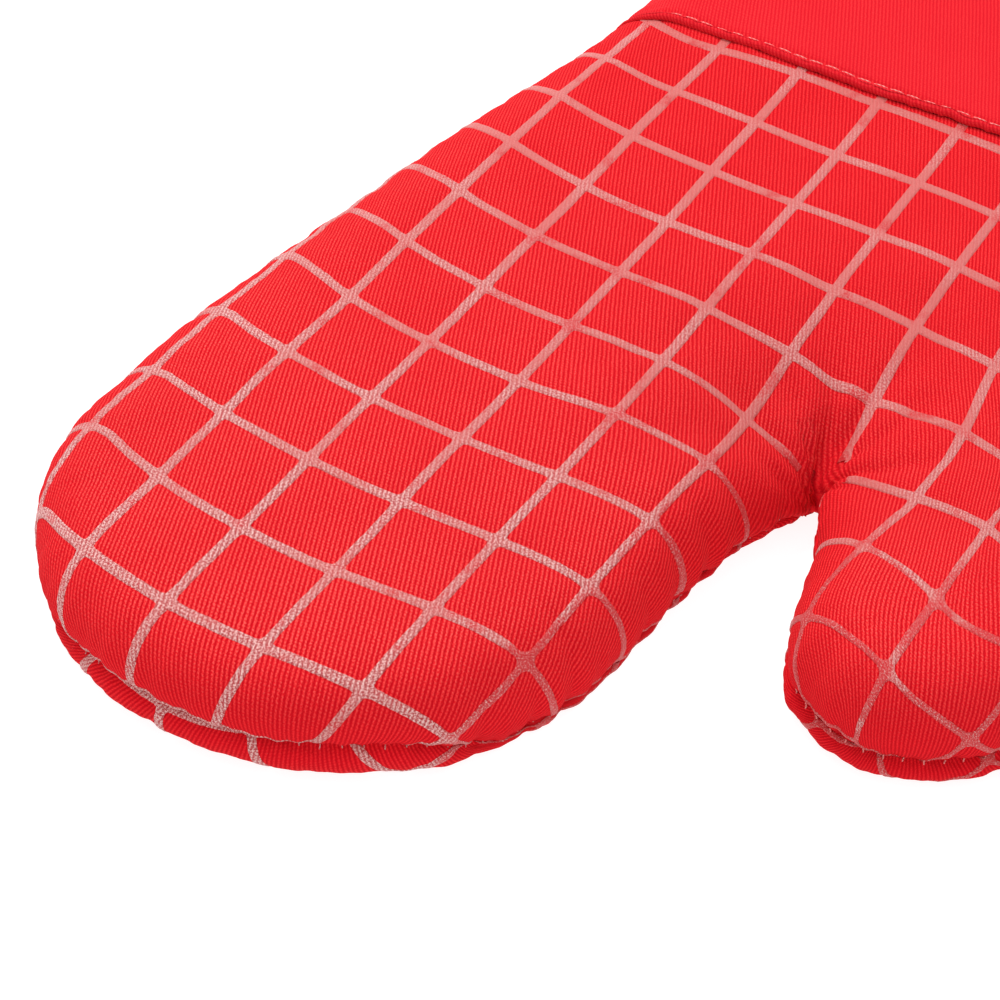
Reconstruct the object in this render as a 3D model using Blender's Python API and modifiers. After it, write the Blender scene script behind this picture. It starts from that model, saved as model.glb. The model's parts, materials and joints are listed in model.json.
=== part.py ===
"""A padded oven mitt with a silicone grid on both faces, lying flat, fingertips towards -Y.

Every layer of the front and the back panel is offset from one panel surface: silicone grid, twill
cover, wadding and lining. Two folds divide the layers into a hand, a finger and a thumb section.
Lengths are in metres and +Z is up. X=0, Y=0 is the grid crossing beside the cuff until
place_on_floor() moves the origin to the middle of the footprint.
"""
import math

import bmesh
import bpy
from mathutils import Vector

MM = 0.001

# Driving dimensions
CELL = 19.0 * MM  # pitch of the silicone grid
LINE_WIDTH = 2.4 * MM  # width of a silicone line
THICKNESS = 28.0 * MM  # floor to the crown of the palm
SEAM_HEIGHT = 10.0 * MM  # floor to the perimeter seam
SEAM_HALF_GAP = 0.8 * MM  # from the seam to a panel's rim
SHOULDER = 13.0 * MM  # how far in from the outline the padding reaches its height
WALL_SHARE = 0.45  # share of a panel's height that its side stands upright
MAX_MITRE = 1.4  # longest move inward, in units of depth, at a sharp turn of the outline
GRID_WRAP = 5.0 * MM  # how far the lines run down over a panel's shoulder
LINE_COLUMNS = range(-2, 9)
LINE_ROWS = range(-1, 12)
CUFF_EDGE_Y = 7.0 * MM  # lower edge of the plain cuff band
MOUTH_Y = 125.0 * MM  # where the padded layers end
MOUTH_RUN_OUT = 39.0 * MM  # the cage runs on past the mouth, so that the mouth stays straight
COVER_END_Y = 18.0 * MM  # the gridded cover ends under the cuff band
GAP = 0.3 * MM  # clearance between neighbours
CUT_GAP = 0.4 * MM  # clearance across a fold

# Depth below the panel surface at which each layer starts and ends
GRID_LAYER = (0.0, 0.5 * MM)
CUFF_LAYER = (0.0, 0.5 * MM)
COVER_LAYER = (0.8 * MM, 1.6 * MM)
WADDING_LAYER = (1.9 * MM, 7.4 * MM)
LINING_LAYER = (7.7 * MM, 8.5 * MM)
HEM_LAYER = (0.0, 8.5 * MM)
HEM_END_Y = 127.3 * MM  # outer face of the hem that closes the layers at the mouth

# Folds: the fingers bend across the knuckles, the thumb along a diagonal from the crotch
FINGER_FOLD_Y = -6.5 * CELL
CROTCH = (92.5 * MM, -89.0 * MM)
THUMB_FOLD_ANGLE = math.radians(40.0)
FOLD_REACH = 110.0 * MM  # from the crotch along the thumb's fold to beyond the side seam
FOLD_START = -1.0 * MM  # the hand section starts this far along the fold, clear of the crotch
FAR = 260.0 * MM  # beyond the mitt in every direction
CUTTER_BOTTOM = -50.0 * MM
CUTTER_TOP = 80.0 * MM
SAME_PLACE = 0.01 * MM
NEAR_MOUTH = 1.0 * MM
FLAT_ANGLE = math.radians(0.2)  # faces that meet at less than this become one

# Sewing thread and hanging loop
THREAD_RADIUS = 0.4 * MM
THREAD_LEFT_END = CROTCH[0] - 3.0 * CELL  # the left side's thread is left of this
THREAD_RIGHT_END = CROTCH[0] + CELL  # the right side's thread is right of this
LOOP_LENGTH = 42.0 * MM
LOOP_HALF_WIDTH = 9.0 * MM
LOOP_TAPE_WIDTH = 8.0 * MM
LOOP_ROOT_RADIUS = 1.0 * MM
LOOP_TAPE = 1.6 * MM
LOOP_ROOT_X = -4.0 * MM
LOOP_ARC_STEPS = 16
LOOP_ROOT_STEPS = 6

# Cage of one panel in plan, in millimetres, from the little-finger side to the thumb side. A hand
# row is level, so it has one Y. The finger and thumb rows curve round their tips.
HAND_ROWS = [
    (127.3, (-10.0, 24.0, 52.0, 82.0, 112.0, 142.0)),
    (80.0, (-9.0, 23.0, 54.0, 84.0, 112.0, 140.0)),
    (35.0, (-8.0, 22.0, 53.0, 84.0, 111.0, 139.0)),
    (-10.0, (-11.0, 20.0, 52.0, 85.0, 113.0, 141.0)),
    (-50.0, (-18.0, 15.0, 48.0, 89.0, 118.0, 147.0)),
    (-84.0, (-23.0, 11.0, 46.0, 93.0, 127.0, 154.0)),
]
FINGER_ROWS = [
    ((-28.0, -122.0), (8.0, -122.0), (43.0, -122.0), (82.0, -122.0)),
    ((-33.0, -160.0), (4.0, -162.0), (40.0, -160.0), (82.0, -154.0)),
    ((-19.0, -202.0), (4.0, -211.0), (32.0, -208.0), (62.0, -190.0)),
]
THUMB_ROWS = [
    ((99.0, -112.0), (130.0, -112.0), (159.0, -108.0)),
    ((106.0, -141.0), (130.0, -149.0), (155.0, -132.0)),
]

COLOURS = {
    "silicone": ((0.90, 0.45, 0.42), 0.45),
    "cover": ((0.80, 0.03, 0.04), 0.90),
    "cuff": ((0.82, 0.03, 0.04), 0.90),
    "wadding": ((0.88, 0.87, 0.83), 0.95),
    "lining": ((0.86, 0.82, 0.74), 0.90),
    "thread": ((0.93, 0.80, 0.78), 0.80),
}


def clear_scene():
    for obj in list(bpy.data.objects):
        bpy.data.objects.remove(obj)


def new_collection(name):
    collection = bpy.data.collections.new(name)
    bpy.context.scene.collection.children.link(collection)
    return collection


def new_material(name):
    colour, roughness = COLOURS[name]
    material = bpy.data.materials.new(name)
    material.use_nodes = True
    shader = material.node_tree.nodes["Principled BSDF"]
    shader.inputs["Base Color"].default_value = (*colour, 1.0)
    shader.inputs["Roughness"].default_value = roughness
    shader.inputs["Metallic"].default_value = 0.0
    return material


def add_object(name, mesh, collection, material=None):
    obj = bpy.data.objects.new(name, mesh)
    collection.objects.link(obj)
    if material is not None:
        mesh.materials.append(material)
    return obj


def evaluated_mesh(obj):
    depsgraph = bpy.context.evaluated_depsgraph_get()
    return bpy.data.meshes.new_from_object(obj.evaluated_get(depsgraph))


# --- Panel surface -----------------------------------------------------------------------------


def plan_cage(bm):
    """The flat cage of one panel: hand rows, then finger rows and thumb rows apart from the crotch."""

    def add_row(points):
        return [bm.verts.new((x * MM, y * MM, 0.0)) for x, y in points]

    def join(upper, lower):
        for k in range(len(lower) - 1):
            bm.faces.new((upper[k], lower[k], lower[k + 1], upper[k + 1]))

    mouth_y, mouth_xs = HAND_ROWS[0]
    beyond_mouth = mouth_y + MOUTH_RUN_OUT / MM
    row = add_row([(x, beyond_mouth) for x in mouth_xs])
    for y, xs in HAND_ROWS:
        lower = add_row([(x, y) for x in xs])
        join(row, lower)
        row = lower
    finger_root, thumb_root = row[:4], row[3:]
    for station in FINGER_ROWS:
        lower = add_row(station)
        join(finger_root, lower)
        finger_root = lower
    for station in THUMB_ROWS:
        lower = add_row(station)
        join(thumb_root, lower)
        thumb_root = lower


def panel_cage(height):
    """The cage of one open panel surface with its rim at z=0, and for each vertex the move inward
    that one unit of depth makes.
    """
    bm = bmesh.new()
    plan_cage(bm)
    bm.normal_update()
    bmesh.ops.inset_region(
        bm, faces=bm.faces[:], use_boundary=True, use_even_offset=True, thickness=SHOULDER
    )
    outline = {v for v in bm.verts if v.is_boundary}
    inward = {}
    for v in outline:
        partner = next(e.other_vert(v) for e in v.link_edges if e.other_vert(v) not in outline)
        step = (partner.co - v.co) / SHOULDER
        if step.length > MAX_MITRE:
            step *= MAX_MITRE / step.length
            partner.co = v.co + step * SHOULDER
        if abs(v.co.y - HEM_END_Y) < NEAR_MOUTH:
            partner.co.y = HEM_END_Y
            step = Vector((math.copysign(1.0, step.x), 0.0, 0.0))
        inward[v] = step
        inward[partner] = step + Vector((0.0, 0.0, -1.0))
        partner.co.z = height
        v.co.z = height * WALL_SHARE
    beyond_mouth = [v for v in bm.verts if v.co.y > HEM_END_Y + NEAR_MOUTH]
    for v in beyond_mouth:
        inward.pop(v, None)
    bmesh.ops.delete(bm, geom=beyond_mouth, context="VERTS")
    for v in bm.verts:
        if v not in inward:
            inward[v] = Vector((0.0, 0.0, -1.0))
            v.co.z = height
    walls = [e for e in bm.edges if e.is_boundary and not all(at_mouth(v.co) for v in e.verts)]
    rim = bmesh.ops.extrude_edge_only(bm, edges=walls)["geom"]
    for v in (g for g in rim if isinstance(g, bmesh.types.BMVert)):
        neighbours = [e.other_vert(v) for e in v.link_edges]
        above = next(o for o in neighbours if o in inward and o.co.z > 0.0)
        inward[v] = inward[above]
        v.co.z = 0.0
    bmesh.ops.recalc_face_normals(bm, faces=bm.faces[:])
    if sum(f.normal.z * f.calc_area() for f in bm.faces) < 0.0:
        bmesh.ops.reverse_faces(bm, faces=bm.faces[:])
    return bm, inward


def at_mouth(point):
    return abs(point.y - HEM_END_Y) < SAME_PLACE


def panel(side):
    """The base points of a side's surface, their inward moves, its faces and its open edges."""
    if side == "front":
        rim, sign = SEAM_HEIGHT + SEAM_HALF_GAP, 1.0
        height = THICKNESS - rim
    else:
        rim, sign = SEAM_HEIGHT - SEAM_HALF_GAP, -1.0
        height = rim
    bm, inward = panel_cage(height)
    bm.verts.index_update()
    flip = Vector((1.0, 1.0, sign))
    points = [v.co * flip + Vector((0.0, 0.0, rim)) for v in bm.verts]
    moves = [inward[v] * flip for v in bm.verts]
    faces = [[v.index for v in f.verts] for f in bm.faces]
    if side == "back":
        faces = [face[::-1] for face in faces]
    edges = []
    for face in faces:
        for k, a in enumerate(face):
            b = face[(k + 1) % len(face)]
            edges.append((a, b))
    known = set(edges)
    open_edges = [(a, b) for a, b in edges if (b, a) not in known]
    bm.free()
    return points, moves, faces, open_edges


def layer_mesh(name, surface, depth):
    """A closed cage between two depths below a panel surface, creased along its cut edges."""
    points, moves, faces, open_edges = surface
    count = len(points)
    start, end = depth
    verts = [p + m * start for p, m in zip(points, moves)]
    verts += [p + m * end for p, m in zip(points, moves)]
    solid = list(faces)
    solid += [[k + count for k in [face[0]] + face[:0:-1]] for face in faces]
    solid += [(b, a, a + count, b + count) for a, b in open_edges]
    mesh = bpy.data.meshes.new(name)
    mesh.from_pydata([tuple(v) for v in verts], [], solid)
    creased = {frozenset(e) for e in open_edges}
    creased |= {frozenset((a + count, b + count)) for a, b in open_edges}
    crease = mesh.attributes.new("crease_edge", "FLOAT", "EDGE")
    for edge in mesh.edges:
        crease.data[edge.index].value = float(frozenset(edge.vertices) in creased)
    keep_mouth_corners(mesh)
    return mesh


def keep_mouth_corners(mesh):
    """Sharp corners where a rim meets the mouth, so that smoothing leaves them in place."""
    rims = (SEAM_HEIGHT - SEAM_HALF_GAP, SEAM_HEIGHT + SEAM_HALF_GAP)
    crease = mesh.attributes.new("crease_vert", "FLOAT", "POINT")
    for v in mesh.vertices:
        on_rim = any(abs(v.co.z - rim) < SAME_PLACE for rim in rims)
        crease.data[v.index].value = float(on_rim and at_mouth(v.co))


# --- Cutters -----------------------------------------------------------------------------------


def cutter_from(name, bm, top, collection):
    """A closed cutter raised to a height from the flat faces in bm."""
    extruded = bmesh.ops.extrude_face_region(bm, geom=bm.faces[:])["geom"]
    for v in (g for g in extruded if isinstance(g, bmesh.types.BMVert)):
        v.co.z = top
    bmesh.ops.recalc_face_normals(bm, faces=bm.faces[:])
    mesh = bpy.data.meshes.new(name)
    bm.to_mesh(mesh)
    bm.free()
    obj = add_object(name, mesh, collection)
    obj.hide_render = True
    obj.display_type = "WIRE"
    return obj


def zone_prism(name, points, collection):
    """A tall closed prism over a plan outline given in metres."""
    bm = bmesh.new()
    bm.faces.new([bm.verts.new((x, y, CUTTER_BOTTOM)) for x, y in points])
    return cutter_from(name, bm, CUTTER_TOP, collection)


def box_zone(name, x_range, y_range, collection):
    (x0, x1), (y0, y1) = x_range, y_range
    return zone_prism(name, [(x0, y0), (x1, y0), (x1, y1), (x0, y1)], collection)


def thumb_fold_point(distance, side):
    """A point on the thumb's fold line, moved sideways by half the fold's clearance."""
    direction = Vector((math.cos(THUMB_FOLD_ANGLE), math.sin(THUMB_FOLD_ANGLE)))
    normal = Vector((-direction.y, direction.x))
    point = Vector(CROTCH) + direction * distance + normal * side
    return (point.x, point.y)


def zone_cutters(collection, hand_end_y):
    half = CUT_GAP / 2.0
    slit_x = CROTCH[0]
    hand = [
        (-FAR, hand_end_y),
        (-FAR, FINGER_FOLD_Y + half),
        (slit_x, FINGER_FOLD_Y + half),
        thumb_fold_point(FOLD_START, half),
        thumb_fold_point(FOLD_REACH, half),
        (FAR, hand_end_y),
    ]
    fingers = [
        (-FAR, FINGER_FOLD_Y - half),
        (-FAR, -FAR),
        (slit_x, -FAR),
        (slit_x, FINGER_FOLD_Y - half),
    ]
    thumb = [
        (slit_x, -FAR),
        (FAR, -FAR),
        thumb_fold_point(FOLD_REACH, -half),
        thumb_fold_point(0.0, -half),
    ]
    outlines = {"hand": hand, "fingers": fingers, "thumb": thumb}
    made = {}
    for zone, points in outlines.items():
        made[zone] = zone_prism(f"zone_{zone}_{hand_end_y:.3f}", points, collection)
    return made


def lattice_cutter(name, bottom, top, collection):
    """The grid of line strips as one closed prism: a square at each crossing and a bar between."""
    half = LINE_WIDTH / 2.0

    def cuts(numbers, sign):
        values = []
        for n in numbers:
            centre = sign * n * CELL
            values += [centre - half, centre + half]
        return sorted(values)

    xs = cuts(LINE_COLUMNS, 1.0)
    ys = cuts(LINE_ROWS, -1.0)
    bm = bmesh.new()
    verts = [[bm.verts.new((x, y, bottom)) for x in xs] for y in ys]
    for r in range(len(ys) - 1):
        for c in range(len(xs) - 1):
            if r % 2 == 0 or c % 2 == 0:
                corners = (verts[r][c], verts[r][c + 1], verts[r + 1][c + 1], verts[r + 1][c])
                bm.faces.new(corners)
    return cutter_from(name, bm, top, collection)


# --- Layers ------------------------------------------------------------------------------------


def cut_piece(cage, material, cutters, collection, solver="EXACT"):
    """A piece smoothed from its cage and cut to its zone."""
    obj = add_object(cage.name, cage, collection, material)
    smooth = obj.modifiers.new("smooth", "SUBSURF")
    smooth.levels = 1
    smooth.render_levels = 1
    same_diagonals = obj.modifiers.new("same_diagonals", "TRIANGULATE")
    same_diagonals.quad_method = "FIXED"
    for cutter in cutters:
        cut = obj.modifiers.new(cutter.name, "BOOLEAN")
        cut.operation = "INTERSECT"
        cut.solver = solver
        cut.object = cutter
    flat = obj.modifiers.new("flat_faces", "DECIMATE")
    flat.decimate_type = "DISSOLVE"
    flat.angle_limit = FLAT_ANGLE
    return obj


def thread_mesh(name, surface):
    """A square-section thread along a panel's rim, in the seam between the two panels."""
    points, moves, _, open_edges = surface
    follows = {a: b for a, b in open_edges if not (at_mouth(points[a]) and at_mouth(points[b]))}
    path = [next(a for a in follows if a not in follows.values())]
    while path[-1] in follows:
        path.append(follows[path[-1]])
    start, end = COVER_LAYER
    verts = []
    for k in path:
        for depth, z in ((start, -1.0), (end, -1.0), (end, 1.0), (start, 1.0)):
            point = points[k] + moves[k] * depth
            verts.append((point.x, point.y, SEAM_HEIGHT + z * THREAD_RADIUS))
    faces = [(0, 1, 2, 3), tuple(4 * (len(path) - 1) + k for k in (3, 2, 1, 0))]
    for step in range(len(path) - 1):
        for k in range(4):
            near, far = 4 * step + k, 4 * step + (k + 1) % 4
            faces.append((near, near + 4, far + 4, far))
    mesh = bpy.data.meshes.new(name)
    mesh.from_pydata(verts, [], faces)
    crease = mesh.attributes.new("crease_edge", "FLOAT", "EDGE")
    for edge in mesh.edges:
        a, b = edge.vertices
        crease.data[edge.index].value = float(abs(a - b) == 4 or edge_on_cap(a, b, len(path)))
    bm = bmesh.new()
    bm.from_mesh(mesh)
    bmesh.ops.recalc_face_normals(bm, faces=bm.faces[:])
    bm.to_mesh(mesh)
    bm.free()
    return mesh


def edge_on_cap(a, b, stations):
    last = 4 * (stations - 1)
    return (a < 4 and b < 4) or (a >= last and b >= last)


def loop_outline():
    """The loop's inner outline: a small arc round its hinge and a wide arc, with straight sides."""
    reach = LOOP_LENGTH - LOOP_HALF_WIDTH
    lean = math.asin((LOOP_HALF_WIDTH - LOOP_ROOT_RADIUS) / reach)
    points = []
    arcs = (
        (LOOP_HALF_WIDTH, reach, -lean, math.pi + lean, LOOP_ARC_STEPS),
        (LOOP_ROOT_RADIUS, 0.0, math.pi + lean, 2.0 * math.pi - lean, LOOP_ROOT_STEPS),
    )
    for radius, centre_y, first, last, steps in arcs:
        for k in range(steps + 1):
            angle = first + (last - first) * k / steps
            points.append((radius * math.cos(angle), centre_y + radius * math.sin(angle)))
    return points


def add_hanging_loop(material, collection):
    """A closed tape, standing on its edge, with its origin on the hinge."""
    outline = loop_outline()
    count = len(outline)
    half = LOOP_TAPE_WIDTH / 2.0
    verts = [(x, y, z) for z in (-half, half) for x, y in outline]
    faces = []
    for k in range(count):
        ahead = (k + 1) % count
        faces.append((k, ahead, ahead + count, k + count))
    mesh = bpy.data.meshes.new("hanging_loop")
    mesh.from_pydata(verts, [], faces)
    obj = add_object("hanging_loop", mesh, collection, material)
    obj.location = (LOOP_ROOT_X, HEM_END_Y + GAP + LOOP_ROOT_RADIUS + LOOP_TAPE, half)
    tape = obj.modifiers.new("tape", "SOLIDIFY")
    tape.thickness = LOOP_TAPE
    tape.offset = 1.0
    mesh.shade_smooth()
    return obj


def keep_largest_body(obj):
    """Applies the modifiers and drops the short bits of line that the outline cuts loose."""
    mesh = evaluated_mesh(obj)
    obj.modifiers.clear()
    obj.data = mesh
    bm = bmesh.new()
    bm.from_mesh(mesh)
    todo = set(bm.verts)
    bodies = []
    while todo:
        stack = [todo.pop()]
        body = set(stack)
        while stack:
            for edge in stack.pop().link_edges:
                for v in edge.verts:
                    if v in todo:
                        todo.discard(v)
                        body.add(v)
                        stack.append(v)
        bodies.append(body)
    bodies.sort(key=len)
    loose = [v for body in bodies[:-1] for v in body]
    bmesh.ops.delete(bm, geom=loose, context="VERTS")
    bm.to_mesh(mesh)
    bm.free()


def add_panel(side, surface, materials, zones, lattice, collection):
    """Every layer of one panel, each cut to the zones that it covers."""
    made = []

    def add(kind, zone_name, depth, material, cutters, solver="EXACT"):
        name = "_".join(part for part in (kind, side, zone_name) if part)
        cage = layer_mesh(name, surface, depth)
        made.append(cut_piece(cage, materials[material], cutters, collection, solver))

    for zone, cutter in zones["cover"].items():
        add("cover", zone, COVER_LAYER, "cover", [cutter])
    for zone, cutter in zones["grid"].items():
        add("grid", zone, GRID_LAYER, "silicone", [cutter, lattice], "MANIFOLD")
        keep_largest_body(made[-1])
    for zone, cutter in zones["padding"].items():
        add("wadding", zone, WADDING_LAYER, "wadding", [cutter])
        add("lining", zone, LINING_LAYER, "lining", [cutter])
    add("cuff", "", CUFF_LAYER, "cuff", [zones["cuff"]])
    add("hem", "", HEM_LAYER, "cuff", [zones["hem"]])
    return made


# --- Frame -------------------------------------------------------------------------------------


def add_axis(name, place, collection):
    """An empty on a joint's axis, which carries the pieces that the joint moves."""
    empty = bpy.data.objects.new(name, None)
    empty.empty_display_size = SHOULDER
    empty.location = place
    collection.objects.link(empty)
    return empty


def carry(child, parent):
    bpy.context.view_layer.update()
    child.parent = parent
    child.matrix_parent_inverse = parent.matrix_world.inverted()


def place_on_floor(frame, objects):
    """Moves the whole mitt so that the middle of its footprint is at the origin."""
    bpy.context.view_layer.update()
    corners = [o.matrix_world @ v.co for o in objects for v in evaluated_mesh(o).vertices]
    xs = [c.x for c in corners]
    ys = [c.y for c in corners]
    frame.location.x -= (min(xs) + max(xs)) / 2.0
    frame.location.y -= (min(ys) + max(ys)) / 2.0
    frame.location.z -= min(c.z for c in corners)


# --- Build -------------------------------------------------------------------------------------

clear_scene()
parts = new_collection("oven_mitt")
guides = new_collection("cutters")
materials = {name: new_material(name) for name in COLOURS}

everywhere = (-FAR, FAR)
zones = {
    "cover": zone_cutters(guides, COVER_END_Y),
    "grid": zone_cutters(guides, CUFF_EDGE_Y - GAP),
    "padding": zone_cutters(guides, MOUTH_Y),
    "cuff": box_zone("zone_cuff", everywhere, (CUFF_EDGE_Y, MOUTH_Y), guides),
    "hem": box_zone("zone_hem", everywhere, (MOUTH_Y + GAP, FAR), guides),
}
front, back = panel("front"), panel("back")
front_lattice = lattice_cutter("lattice_front", THICKNESS - GRID_WRAP, THICKNESS + SHOULDER, guides)
back_lattice = lattice_cutter("lattice_back", -SHOULDER, GRID_WRAP, guides)
made = add_panel("front", front, materials, zones, front_lattice, parts)
made += add_panel("back", back, materials, zones, back_lattice, parts)

left_side = box_zone("zone_left", (-FAR, THREAD_LEFT_END), everywhere, guides)
right_side = box_zone("zone_right", (THREAD_RIGHT_END, FAR), everywhere, guides)
middle = box_zone("zone_middle", (THREAD_LEFT_END, THREAD_RIGHT_END), everywhere, guides)
padding = zones["padding"]
for name, cutters in (
    ("seam_thread_left", [padding["hand"], left_side]),
    ("seam_thread_right", [padding["hand"], right_side]),
    ("seam_thread_crotch", [padding["hand"], middle]),
    ("seam_thread_fingers", [padding["fingers"]]),
    ("seam_thread_thumb", [padding["thumb"]]),
):
    made.append(cut_piece(thread_mesh(name, front), materials["thread"], cutters, parts))
loop = add_hanging_loop(materials["cuff"], parts)

frame = add_axis("oven_mitt_frame", (0.0, 0.0, 0.0), parts)
finger_axis = add_axis("finger_fold", (0.0, FINGER_FOLD_Y, THICKNESS), parts)
thumb_axis = add_axis("thumb_fold", (*CROTCH, THICKNESS), parts)
for axis in (finger_axis, thumb_axis, loop):
    carry(axis, frame)
for obj in made:
    if obj.name.endswith("fingers"):
        carry(obj, finger_axis)
    elif obj.name.endswith("thumb"):
        carry(obj, thumb_axis)
    else:
        carry(obj, frame)
for cutter in guides.objects:
    carry(cutter, frame)
place_on_floor(frame, [*made, loop])
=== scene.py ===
"""The looks of a padded oven mitt: simulated covers with a raised silicone grid, a plain cuff, a
lining, sewing thread and a hanging tape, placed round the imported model.

Two frames are used. The pattern frame has its origin at the grid crossing beside the cuff, +X towards
the thumb and +Y towards the cuff. place() moves it to the row frame. "Print" coordinates (u, v) say
where a point lies on the flat cloth: the silicone lines run at whole multiples of the pitch.
"""

import json
import math

import bmesh
import bpy
import numpy as np
from mathutils import Matrix, Vector, noise
from mathutils.bvhtree import BVHTree
from mathutils.geometry import delaunay_2d_cdt


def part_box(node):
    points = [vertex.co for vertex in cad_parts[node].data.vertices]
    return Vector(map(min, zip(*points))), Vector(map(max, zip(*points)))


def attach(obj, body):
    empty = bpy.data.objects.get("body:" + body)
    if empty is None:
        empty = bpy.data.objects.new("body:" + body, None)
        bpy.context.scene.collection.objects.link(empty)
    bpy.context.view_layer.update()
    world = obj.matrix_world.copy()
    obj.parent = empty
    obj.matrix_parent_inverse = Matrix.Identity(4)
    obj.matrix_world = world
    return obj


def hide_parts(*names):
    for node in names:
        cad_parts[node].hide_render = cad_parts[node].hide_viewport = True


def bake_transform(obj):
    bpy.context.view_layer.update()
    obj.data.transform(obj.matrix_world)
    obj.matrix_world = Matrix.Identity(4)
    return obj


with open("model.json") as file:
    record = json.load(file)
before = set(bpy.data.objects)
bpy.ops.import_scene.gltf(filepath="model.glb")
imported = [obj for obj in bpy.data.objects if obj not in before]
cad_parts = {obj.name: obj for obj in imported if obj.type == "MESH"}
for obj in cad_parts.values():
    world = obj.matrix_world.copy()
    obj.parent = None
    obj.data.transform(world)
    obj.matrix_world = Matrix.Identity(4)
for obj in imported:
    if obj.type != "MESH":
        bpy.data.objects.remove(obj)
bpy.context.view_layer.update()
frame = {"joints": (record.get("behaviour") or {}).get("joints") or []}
joints = {joint["name"]: joint for joint in frame["joints"]}

MM = 0.001
MAIN, THUMB, CUFF = range(3)  # the zones of a panel

# The mitt in plan, in millimetres of the pattern frame: down the little-finger side and round the
# fingertips to the crotch, then round the thumb and up to the mouth
CROTCH = (91.0, -89.5)
FINGER_LINE = [
    (-10.0, 125.0), (-10.0, 60.0), (-12.7, 0.0), (-19.6, -46.5), (-26.0, -101.5), (-29.5, -141.0),
    (-27.3, -172.0), (-8.2, -196.5), (18.2, -205.1), (45.3, -200.2), (69.0, -181.4), (79.8, -153.7),
    (81.8, -128.0), (85.0, -105.0), CROTCH,
]
THUMB_LINE = [
    CROTCH, (93.6, -97.0), (98.8, -107.5), (101.9, -121.4), (108.6, -136.2), (124.5, -142.6), (141.0, -135.6),
    (154.0, -117.5), (156.5, -92.0), (150.5, -58.0), (142.0, -18.0), (138.0, 30.0), (138.0, 80.0),
    (139.0, 125.0),
]
MOUTH_Y = 125.0 * MM
CUFF_STITCH_IN = 2.6 * MM  # the stitch line inside the cuff's folded edge
CUFF_THICKNESS = 0.9 * MM
CUFF_FOLD = 1.9 * MM  # the cuff's turned edge is thicker
THUMB_FOLD_ANGLE = math.radians(40.0)
THUMB_FOLD_NORMAL = np.array((-math.sin(THUMB_FOLD_ANGLE), math.cos(THUMB_FOLD_ANGLE)))

# The padding in section
SEAM_Z = 9.5 * MM
SEAM_INSET = 2.5 * MM  # the seam lies in a crease, inside the widest line
ON_SEAM = 0.05 * MM  # points nearer than this to the widest line belong to the seam
CROWN_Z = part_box("cover_front_hand")[1].z - 1.0 * MM
TIP_DROP = 2.0 * MM
DOME = 2.5 * MM  # rise of the palm over the shoulders
DOME_REACH = 20.0 * MM
FRONT_WIDTH = 11.0 * MM  # plan width of the front panel's rounded edge
BACK_WIDTH = 9.0 * MM
WAIST = 0.30  # share of its rise that a panel has at the widest line
CROTCH_REACH = 36.0 * MM  # how far the crotch draws the cloth in

# The pocket
LINING_DEPTH = 7.0 * MM  # inside the seam
LINING_STEP = 4.0 * MM
LINING_RISE = 9.0 * MM
LINING_ROUND = 7.0 * MM  # plan width of the pocket's rounded edge

# Silicone grid and weave
PITCH = 19.0 * MM
LINE_WIDTH = 2.5 * MM
LINE_HEIGHT = 0.22 * MM
LINE_STEPS = 22  # points along a line between two crossings
CELL_PUFF = 0.32 * MM  # the cloth swells between the lines
BACK_SHIFT = (-12.5 * MM, 1.5 * MM)  # the back panel is cut from another part of the print
LINE_TAPER = 0.2 * MM  # the lines are printed narrower towards the fingertips
# Where the padding pulls the print off its even pitch: place, shift and reach, in millimetres
STRETCHES = [
    ((5.0, 4.0), (2.0, -5.8), 15.0), ((-22.0, -140.0), (0.0, -3.2), 16.0),
    ((76.0, -108.0), (0.8, 4.0), 17.0), ((112.0, -128.0), (-4.0, -1.0), 10.0),
    ((135.0, -128.0), (3.2, -6.0), 14.0), ((114.0, -78.0), (3.6, 0.0), 12.0),
]
RIB_PITCH_MM = 0.80
RIB_ANGLE = math.radians(25.0)  # from +u to the direction across the ribs

# Folds that run out of the crotch: angle and width in degrees, depth and length in millimetres
CROTCH_FOLDS = [
    (114.0, 4.2, 9.0, 26.0), (86.0, 2.6, 8.0, 20.0), (145.0, 2.3, 8.0, 20.0), (58.0, 1.8, 7.0, 16.0),
    (20.0, 2.2, 9.0, 18.0), (-14.0, 1.8, 9.0, 14.0), (174.0, 2.0, 9.0, 18.0), (208.0, 1.5, 8.0, 14.0),
]

# Stitches
SEAM_STITCH_PITCH = 3.8 * MM
CUFF_STITCH_PITCH = 3.7 * MM

# Cloth simulation
SIM_STEP = 3.4 * MM
SIM_FRAMES = 16
SIM_CAP = 2.2 * MM
CLOTH_SETTINGS = {
    "quality": 6, "mass": 0.25, "tension_stiffness": 20.0, "compression_stiffness": 20.0,
    "shear_stiffness": 8.0, "bending_stiffness": 0.8, "tension_damping": 8.0, "air_damping": 4.0,
    "use_pressure": True, "uniform_pressure_force": 3.0, "vertex_group_mass": "held",
    "vertex_group_shrink": "loose", "shrink_min": 0.0, "shrink_max": -0.07,
}


def smoothstep(x):
    x = np.clip(x, 0.0, 1.0)
    return x * x * (3.0 - 2.0 * x)


def soft_noise(points, scale, seed):
    """Smooth noise from -1 to 1 at 2-D points, with features of about the given size."""
    return np.array([noise.noise((p[0] / scale, p[1] / scale, seed)) for p in points])


def unit(vectors, smallest=1e-9):
    return vectors / np.maximum(np.linalg.norm(vectors, axis=-1, keepdims=True), smallest)


def ways_along(points):
    """The distance along a line, at each of its points."""
    return np.r_[0.0, np.cumsum(np.linalg.norm(np.diff(points, axis=0), axis=1))]


def sampled(at, way, points):
    """What a line's points come to at given distances along it."""
    return np.stack([np.interp(at, way, column) for column in np.asarray(points).T], axis=-1)


# --- Plan outline ------------------------------------------------------------------------------


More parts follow.
